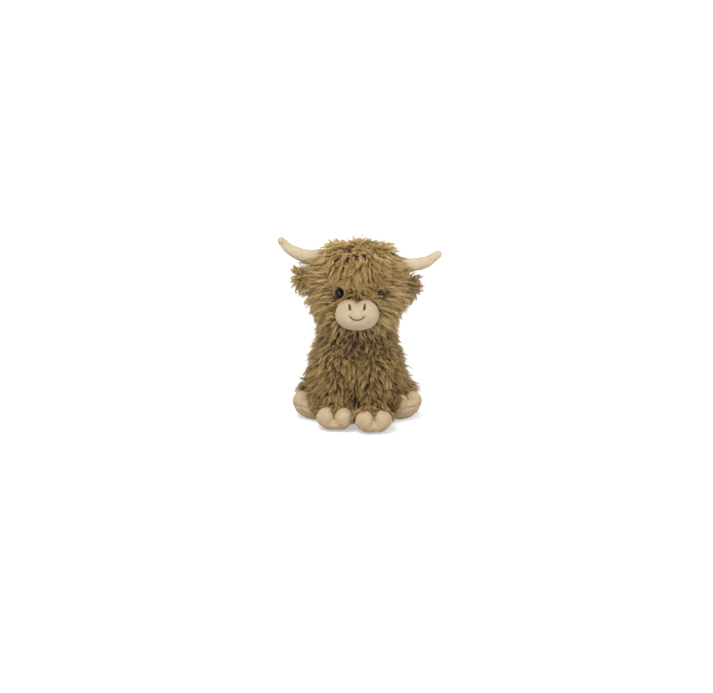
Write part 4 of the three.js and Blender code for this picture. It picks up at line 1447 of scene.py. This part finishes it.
@dataclass
class Horn:
    """A curved, stuffed horn of cream plush, seamed along its underside."""

    hand: Hand
    base_radius: float = 11.0
    tip_radius: float = 5.8
    fullness: float = 0.6  # of its taper, two thirds of the way out
    root: float = 42.0
    span: float = 71.0
    rise: float = 121.0  # over the neck
    lift: float = 16.0  # of the tip over the base
    sag: float = 3.0
    seam_depth: float = 0.5
    slack: float = 0.05
    most_stuffed: float = 1.3

    def skin(self) -> Skin:
        """The horn's surface, from its hem inside the head to its tip."""
        knots = [(0.0, 0.0), (0.4, -self.sag), (0.76, self.lift * 0.25), (1.0, self.lift)]
        side, crown = self.hand.side, Crown()
        outs = [(side * (self.root + self.span * share), up) for share, up in knots]
        path = np.array([crown.leaned(out, 0.0, self.rise + up) for out, up in outs])
        middle = self.tip_radius + (self.base_radius - self.tip_radius) * self.fullness
        radii = [self.base_radius, self.base_radius - 0.6, middle, self.tip_radius]
        skin = tube(path, radii, 40, 60)
        line = evenly(spline(path, 120), 80)
        nearest = np.argmin(np.linalg.norm(skin.points[:, None] - line[None], axis=2), axis=1)
        outwards = unit(skin.points - line[nearest])
        seam = np.exp(-((np.arccos(np.clip(outwards @ -UP, -1.0, 1.0)) / 0.16) ** 2))
        lumps = 0.35 * swell(skin.points, 13.0, 2.0 + side)
        skin.points = skin.points + outwards * (lumps - self.seam_depth * seam)[:, None]
        hem = 1.0 - eased(side * skin.points[:, 0], self.root, self.root + 12.0)
        end = self.root + self.span
        tip = eased(side * skin.points[:, 0], end - 3.0, end + 2.0)
        sewn = 0.8 * seam * (seam > 0.5)
        stuffed(skin, np.maximum.reduce([hem, tip, sewn]), self.slack, self.most_stuffed)
        return skin

    def build(self) -> Skin:
        """Makes the horn and returns its surface."""
        skin = self.skin()
        node = f"horn_{self.hand.value}"
        Piece(f"{node}_plush", "head", CREAM, Slot.CREAM_PLUSH, (node, f"{node}_fill"), 0.95).made_from(skin)
        return skin


@dataclass
class Ear:
    """A drooping ear: a padded leaf with long pile behind and round its rim.

    In front, the left one has short mauve-brown pile. The right one is lined with long pile.
    """

    hand: Hand
    proud: float = 2.5  # of the head's side
    rise: float = 87.0  # over the neck
    length: float = 19.0
    half_height: float = 15.0
    half_thickness: float = 3.2
    droop: float = 14.0  # degrees
    front: float = -0.55  # a surface that looks further along -Y than this is the leaf's front
    sides: int = 44

    def axes(self) -> tuple[Array, Array, Array]:
        """The hinge's middle, the way that the leaf points, and the way up the hinge."""
        head, crown, side = Head(), Crown(), self.hand.side
        droop = math.radians(self.droop + crown.tilt * side)
        place = crown.leaned(side * (head.radius + self.proud), -head.forward, self.rise)
        out = np.array([side * math.cos(droop), 0.0, -math.sin(droop)])
        up = np.array([side * math.sin(droop), 0.0, math.cos(droop)])
        return place, out, up

    def skin(self) -> Skin:
        """The ear's padded leaf, cupped forwards."""
        place, out, up = self.axes()
        skin = globe(self.sides, 28)
        x, y, z = skin.points.T
        reach = (x + 1.0) / 2.0
        width = self.half_height * (0.8 + 0.35 * np.sin(math.pi * np.clip(reach, 0.0, 1.0)))
        cup = -2.0 * (z**2) * eased(reach, 0.2, 1.0)
        forwards = y * self.half_thickness * (1.0 - 0.3 * reach) + cup
        skin.points = place + (reach * self.length)[:, None] * out + (z * width)[:, None] * up
        skin.points[:, 1] += forwards
        return skin.rewound(self.sides)

    def build(self) -> None:
        """Makes the ear's pieces."""
        place, out, up = self.axes()
        skin = self.skin()
        body = f"ear_{self.hand.value}"
        Piece(f"{body}_backing", body, BACKING, Slot.LONG_PILE, (), 0.5).made_from(skin)

        def lay(points: Array, normals: Array) -> Array:
            """Outwards from the hinge, fanning to the rim and drooping."""
            height = (points - place) @ up
            return unit(0.8 * out + (height / self.half_height * 0.75 - 0.12)[:, None] * up)

        def behind(points: Array, normals: Array) -> Array:
            """The back of the leaf and its rim."""
            return normals[:, 1] > self.front

        def in_front(points: Array, normals: Array) -> Array:
            """The front of the leaf."""
            return ~behind(points, normals)

        long = Coat(17.0, spacing=2.7, root_lift=62.0, tip_lift=20.0, gather=0.55, uneven=0.16, swirl=26.0)
        back = grown(skin, long, lay, behind, toned([], BRIGHT), 31 + self.hand.side)
        fur_piece(f"{body}_fur", body, back, (f"{body}_pile",), 33)
        if self.hand is Hand.LEFT:
            short = Coat(10.0, spacing=2.4, strands=8, root_lift=42.0, tip_lift=12.0, wave=0.4, gather=0.5)
            inner = tuple(place + 6.0 * out)
            front = grown(skin, short, lay, in_front, toned([(inner, 9.0)], BRIGHT), 36)
        else:
            front = grown(skin, replace(long, length=14.0), lay, in_front, toned([], BRIGHT + 0.05), 34)
        # the lining's painted root shade starts halfway up, so that it is lighter
        front.root = 0.5
        fur_piece(f"{body}_lining_fur", body, front, (f"{body}_lining",), 37)


@dataclass
class Head:
    """The head: long pile over its stuffing, with the forelock, muzzle, eyes, horns and ears."""

    radius: float = 66.0
    cheek_rise: float = 70.0
    brow_radius: float = 62.0
    brow_rise: float = 112.0
    crown_rise: float = 146.0
    rim_rise: float = 29.0
    depth_share: float = 0.93
    forward: float = 6.0
    rim: float = 144.0  # the backing's lower edge
    clearance: float = 2.0  # over the body's shoulder
    forelock_half_width: float = 31.0
    forelock_low: float = 212.0  # the height of the patch's lower edge
    overlap: float = 6.0  # of the patch over the head's pile
    overlap_low: float = 234.0  # the height over which they overlap

    def outline(self) -> list[tuple[float, float]]:
        """The frame's outline of the head, over the middle of the neck."""
        return [
            (0.0, self.rim_rise - 20.0),
            (self.radius * 0.62, self.rim_rise - 15.0),
            (self.radius * 0.87, self.rim_rise + 1.0),
            (self.radius, self.cheek_rise),
            (self.brow_radius, self.brow_rise),
            (self.brow_radius * 0.72, self.crown_rise - 9.0),
            (0.0, self.crown_rise),
        ]

    def skin(self, shoulder_radius: float) -> Skin:
        """The head's backing, hollowed underneath over the shoulder."""
        profile = offset_outline(self.outline(), -BACKING_DEPTH, 80)
        skin = revolved(profile, self.depth_share, 80)
        skin.points += [0.0, -self.forward, NECK_HEIGHT]
        skin.points[:, 2] = np.maximum(skin.points[:, 2], self.rim)
        from_neck = skin.points - NECK_HEIGHT * UP
        distance = np.linalg.norm(from_neck, axis=1)
        least = shoulder_radius + self.clearance
        inside = distance < least
        skin.points[inside] = unit(from_neck[inside]) * least + NECK_HEIGHT * UP
        return skin

    def flow(self, points: Array, normals: Array) -> Array:
        """Outwards over the cheeks, down as a beard under the muzzle, and down the back."""
        x, y, z = points.T
        muzzle = Muzzle().middle[2]
        aside = np.clip(x / 22.0, -1.0, 1.0)
        # how much a point belongs to the beard, the back, the top and the pile round a horn
        beard = eased(muzzle - 6.0 - z, 0.0, 22.0) * (1.0 - 0.55 * eased(np.abs(x), 28.0, 50.0))
        back = eased(y, -8.0, 22.0)
        top = eased(normals[:, 2], 0.45, 0.8)
        by_horn = eased(np.abs(x), 44.0, 57.0) * np.exp(-(((z - 222.0) / 15.0) ** 2))
        # the cheeks' pile lies outwards, and droops low down at the sides
        droop = 0.22 + 0.95 * eased(np.abs(x), 38.0, 58.0) * eased(190.0 - z, 0.0, 30.0)
        cheek = vector_of(aside, 0.1, 0.35 * by_horn - droop, points)
        lay = cheek * (1.0 - beard)[:, None] + vector_of(0.35 * aside, 0.0, -1.0, points) * beard[:, None]
        lay = lay * (1.0 - back)[:, None] + vector_of(0.3 * x / 50.0, 0.0, -1.0, points) * back[:, None]
        over = vector_of(0.5 * x / 30.0, 2.0 * eased(y, 4.0, 32.0) - 1.0, -0.2, points)
        lay = unit(lay * (1.0 - top)[:, None] + over * top[:, None])
        # the pile is longer aside, most of all by the horns, but short low down at the sides
        length = 1.0 + 0.15 * eased(np.abs(x), 20.0, 45.0) + 0.25 * by_horn
        length = length - 0.36 * eased(np.abs(x), 34.0, 50.0) * eased(182.0 - z, 0.0, 20.0)
        # it is parted round the eyes, and shorter there
        for eye in (Eye(Hand.RIGHT), Eye(Hand.LEFT)):
            away = points - eye.place
            near = eye.parting * np.exp(-((np.linalg.norm(away, axis=1) / 13.0) ** 2))
            lay = unit(lay + unit(away) * near[:, None])
            length = length * (1.0 - 0.28 * near)
        return lay * length[:, None]

    def forelock_flow(self, points: Array, normals: Array) -> Array:
        """Forwards over the crown and down over the forehead, parting a little to both sides."""
        x, _, z = points.T
        length = 1.0 - 0.15 * eased(-z, -225.0, -205.0)
        return unit(vector_of(0.3 * x / 30.0, -0.7, -1.0, points)) * length[:, None]

    def build(self, shoulder_radius: float) -> None:
        """Makes the head's pieces.

        Args:
            shoulder_radius: The radius of the body's round shoulder, which the head turns on.
        """
        skin = self.skin(shoulder_radius)
        Piece("head_backing", "head", BACKING, Slot.LONG_PILE, ("head_fill",), 0.85).made_from(skin)
        muzzle = Muzzle().build()
        eyes = [Eye(hand) for hand in Hand]
        for eye in eyes:
            eye.build()
        horns = [Horn(hand).build() for hand in Hand]
        for hand in Hand:
            Ear(hand).build()

        def in_forelock(points: Array, margin: float = 0.0) -> Array:
            """Which points are over the crown and forehead, or within a margin of that."""
            x, y, z = points.T
            wide = np.abs(x) < self.forelock_half_width + margin
            return wide & (y < margin - 2.0) & (z > self.forelock_low - margin)

        def bare(points: Array) -> Array:
            """Under the muzzle, at the eyes and at the horns."""
            near = muzzle.depth_of(points)[0] < 0.5
            for eye in eyes:
                near |= np.linalg.norm(points - eye.place + eye.outwards * 3.0, axis=1) < 7.0
            for horn in horns:
                near |= horn.depth_of(points)[0] < 0.5
            return near

        def on_head(points: Array, normals: Array) -> Array:
            """The head outside the forelock, over its rim."""
            over_rim = (normals[:, 2] > -0.8) & (points[:, 2] > self.rim - 1.0)
            return over_rim & ~in_forelock(points) & ~bare(points)

        def on_forelock(points: Array, normals: Array) -> Array:
            """The forelock's patch, which overlaps the head's pile at its upper edge."""
            overlap = in_forelock(points, self.overlap) & (points[:, 2] > self.overlap_low)
            return (in_forelock(points) | overlap) & ~bare(points)

        mauve = [((-30.0, -40.0, 150.0), 7.0), ((48.0, -10.0, 238.0), 8.0)]
        coat = Coat(23.5, spacing=3.6, follow=0.75, gather=0.65, swirl=36.0)
        fur = grown(skin, coat, self.flow, on_head, toned(mauve, BRIGHT), 21)
        locks = Coat(27.0, spacing=2.9, root_lift=68.0, tip_lift=10.0, ruffle=9.0, wave=1.4)
        locks = replace(locks, gather=0.5, swirl=24.0)
        forelock = grown(skin, locks, self.forelock_flow, on_forelock, toned(mauve, BRIGHT - 0.14), 22)
        # the painted root shade starts partway up on the head and further up on the forelock, so that they
        # are lighter
        fur.root, forelock.root = 0.16, 0.42
        for pile in (fur, forelock):
            pile.lifted_off(muzzle, 0.7)
            for horn in horns:
                pile.lifted_off(horn, 0.5)
            for eye in eyes:
                pile.paths = eye.cleared_of(pile.paths)
        front = fur.paths[:, 0, 1] < 0.0
        fur_piece("head_front_fur", "head", fur.chosen(front), ("head_front_pile",), 23)
        fur_piece("head_back_fur", "head", fur.chosen(~front), ("head_back_pile",), 24)
        fur_piece("forelock_fur", "head", forelock, ("forelock",), 25)


@dataclass
class Tail:
    """A short furry tail on the back, with its tuft."""

    height: float = 54.0
    length: float = 36.0
    hang: float = 9.0  # how far the end stands off the root
    radii: tuple[float, float, float] = (2.6, 2.2, 2.0)  # of the backing, from root to end

    def build(self, torso: Torso) -> None:
        """Makes the tail's pieces on the body's back."""
        back = torso.hip_radius * torso.depth_share
        root = np.array([0.0, back, self.height])
        end = np.array([0.0, back + self.hang, self.height - self.length])
        middle = (root + end) / 2.0 + [0.0, self.hang / 3.0, 0.0]
        path = np.array([root + [0.0, -6.0, 1.0], middle, end])
        core = tube(path, self.radii, 16, 14)
        Piece("tail_backing", "tail", BACKING, Slot.LONG_PILE, (), 0.7).made_from(core)

        def lay(points: Array, normals: Array) -> Array:
            """Down the tail."""
            return vector_of(0.0, 0.15, -1.0, points)

        def high(points: Array, normals: Array) -> Array:
            """Over the tuft."""
            return points[:, 2] > self.height - self.length + 6.0

        def low(points: Array, normals: Array) -> Array:
            """The tuft."""
            return ~high(points, normals)

        coat = Coat(11.0, spacing=3.0, strands=8, thickness=0.7, root_lift=48.0, wave=0.8)
        fur_piece("tail_fur", "tail", grown(core, coat, lay, high, toned([]), 41), ("tail",), 42)
        tuft = replace(coat, length=17.0, strands=14, spacing=2.4, root_lift=42.0, wave=1.2)
        fur_piece("tail_tuft_fur", "tail", grown(core, tuft, lay, low, toned([]), 43), ("tail_tuft",), 44)


def front_leg(hand: Hand, across: float, reach: float, turn: float, seed: int) -> Leg:
    """A front leg, which stands from the shoulder to its hoof."""
    torso, side = Torso(), hand.side
    chest_front = torso.chest_radius * torso.depth_share
    hoof = np.array([side * across, -chest_front - reach, Hoof.height(0.0)])
    ankle = hoof + [0.0, 13.0, 13.0]
    shoulder = np.array([side * 30.0, -chest_front + 18.0, NECK_HEIGHT - 15.0])
    knee = (shoulder + ankle) / 2.0 + [0.0, -4.0, 0.0]
    path = np.array([shoulder, knee, ankle])
    draped = 9.0 if hand is Hand.LEFT else 4.0
    return Leg(f"front_leg_{hand.value}", path, (22.0, 19.0), Hoof(hoof, side * turn), draped, 30.0, seed)


def hind_leg(hand: Hand, seed: int) -> Leg:
    """A hind leg, which lies on the floor from the hip to its hoof."""
    side, pitch = hand.side, 40.0

    def away(degrees: float) -> Array:
        """The level way forwards, turned outwards."""
        turn = math.radians(degrees)
        return np.array([side * math.sin(turn), -math.cos(turn), 0.0])

    hip = np.array([side * (Torso().hip_radius - 14.0), 2.0, 30.0])
    hoof = hip + away(20.0) * 32.0
    hoof[2] = Hoof.height(pitch)
    ankle = hoof - away(38.0) * 13.0
    path = np.array([hip, (hip + ankle) / 2.0, ankle])
    covered = 13.0 if hand is Hand.LEFT else 4.0
    foot = Hoof(hoof, side * 38.0, pitch)
    return Leg(f"hind_leg_{hand.value}", path, (30.0, 19.0), foot, 4.0, covered, seed)


@dataclass
class Studio:
    """The floor, the soft lights, the white surroundings and the camera at the photograph's angle."""

    elevation: float = 15.0
    distance: float = 3.0
    aim: tuple[float, float, float] = (-0.00466, 0.0, 0.1055)
    view_width: float = 1.034  # metres across the picture, at the toy
    sensor: float = 36.0
    world_strength: float = 0.6
    floor_size: float = 80.0

    def camera(self) -> None:
        """Makes the camera."""
        angle = math.radians(self.elevation)
        back = Vector((0.0, -math.cos(angle), math.sin(angle)))
        data = bpy.data.cameras.new("camera")
        data.sensor_width = self.sensor
        data.lens = self.sensor * self.distance / self.view_width
        camera = bpy.data.objects.new("camera", data)
        bpy.context.scene.collection.objects.link(camera)
        camera.location = Vector(self.aim) + back * self.distance
        camera.rotation_euler = (-back).to_track_quat("-Z", "Y").to_euler()
        bpy.context.scene.camera = camera

    def lamp(self, name: str, place: tuple[float, float, float], size: float, power: float) -> None:
        """Makes a soft square lamp that looks at the toy."""
        data = bpy.data.lights.new(name, "AREA")
        data.size, data.energy = size, power
        lamp = bpy.data.objects.new(name, data)
        bpy.context.scene.collection.objects.link(lamp)
        lamp.location = place
        lamp.rotation_euler = (Vector(self.aim) - Vector(place)).to_track_quat("-Z", "Y").to_euler()

    def surroundings(self) -> None:
        """Makes a white world, plain white to the camera and in reflections."""
        world = bpy.data.worlds.new("white_surroundings")
        bpy.context.scene.world = world
        world.use_nodes = True
        tree = world.node_tree
        background = tree.nodes["Background"]
        background.inputs["Color"].default_value = (1.0, 1.0, 1.0, 1.0)
        seen = self.seen(tree)
        strength = {"From Min": 0.0, "From Max": 1.0, "To Min": self.world_strength, "To Max": 1.0}
        level = add(tree, "ShaderNodeMapRange", strength, {"Value": seen})
        tree.links.new(level.outputs[0], background.inputs["Strength"])

    def seen(self, tree: bpy.types.NodeTree) -> bpy.types.NodeSocket:
        """1 for a ray from the camera, a mirror or glass."""
        ray = add(tree, "ShaderNodeLightPath", {}, {})
        glossy = {0: ray.outputs["Is Camera Ray"], 1: ray.outputs["Is Glossy Ray"]}
        first = add(tree, "ShaderNodeMath", {"operation": "MAXIMUM"}, glossy)
        both = {0: first.outputs[0], 1: ray.outputs["Is Transmission Ray"]}
        return add(tree, "ShaderNodeMath", {"operation": "MAXIMUM"}, both).outputs[0]

    def floor(self) -> None:
        """Makes the pale floor, which keeps the toy's shadow and is white to the camera."""
        half = self.floor_size / 2.0
        mesh = bpy.data.meshes.new("floor")
        corners = [(-half, -half, 0.0), (half, -half, 0.0), (half, half, 0.0), (-half, half, 0.0)]
        mesh.from_pydata(corners, [], [(0, 1, 2, 3)])
        floor = bpy.data.objects.new("floor", mesh)
        bpy.context.scene.collection.objects.link(floor)
        paper = bpy.data.materials.new("pale_paper")
        paper.use_nodes = True
        shader = paper.node_tree.nodes["Principled BSDF"]
        shader.inputs["Base Color"].default_value = (0.72, 0.72, 0.72, 1.0)
        shader.inputs["Roughness"].default_value = 1.0
        shader.inputs["Specular IOR Level"].default_value = 0.0
        shader.inputs["Emission Color"].default_value = (1.0, 1.0, 1.0, 1.0)
        tree = paper.node_tree
        where = add(tree, "ShaderNodeTexCoord", {}, {})
        away = add(tree, "ShaderNodeVectorMath", {"operation": "LENGTH"}, {0: where.outputs["Object"]})
        glow = {"From Min": 0.25, "From Max": 1.2, "To Min": 0.45, "To Max": 0.75}
        level = add(tree, "ShaderNodeMapRange", glow, {"Value": away.outputs["Value"]})
        shown = {0: level.outputs[0], 1: self.seen(tree)}
        strength = add(tree, "ShaderNodeMath", {"operation": "MULTIPLY"}, shown)
        tree.links.new(strength.outputs[0], shader.inputs["Emission Strength"])
        mesh.materials.append(paper)

    def build(self) -> None:
        """Makes the whole studio."""
        bpy.context.scene.view_settings.view_transform = "Standard"
        self.camera()
        self.surroundings()
        self.floor()
        self.lamp("key", (-0.55, -1.4, 2.2), size=0.9, power=46.0)
        self.lamp("fill", (1.4, -1.4, 0.8), size=1.2, power=9.0)
        self.lamp("back", (0.3, 1.4, 1.5), size=1.0, power=8.0)


def main() -> None:
    """Builds the studio and the toy."""
    Studio().build()
    torso = Torso()
    legs = [
        front_leg(Hand.LEFT, across=23.0, reach=32.0, turn=4.0, seed=51),
        front_leg(Hand.RIGHT, across=31.0, reach=20.0, turn=8.0, seed=52),
        hind_leg(Hand.LEFT, seed=53),
        hind_leg(Hand.RIGHT, seed=54),
    ]
    skin = torso.build(legs)
    for leg in legs:
        leg.build(skin)
    Tail().build(torso)
    Head().build(torso.shoulder_radius)
    for hand in Hand:
        washer = frame["nodes"][f"eye_washer_{hand.value}"]
        washer.data.materials.clear()
        washer.data.materials.append(WASHER.material())


if __name__ == "__main__":
    main()
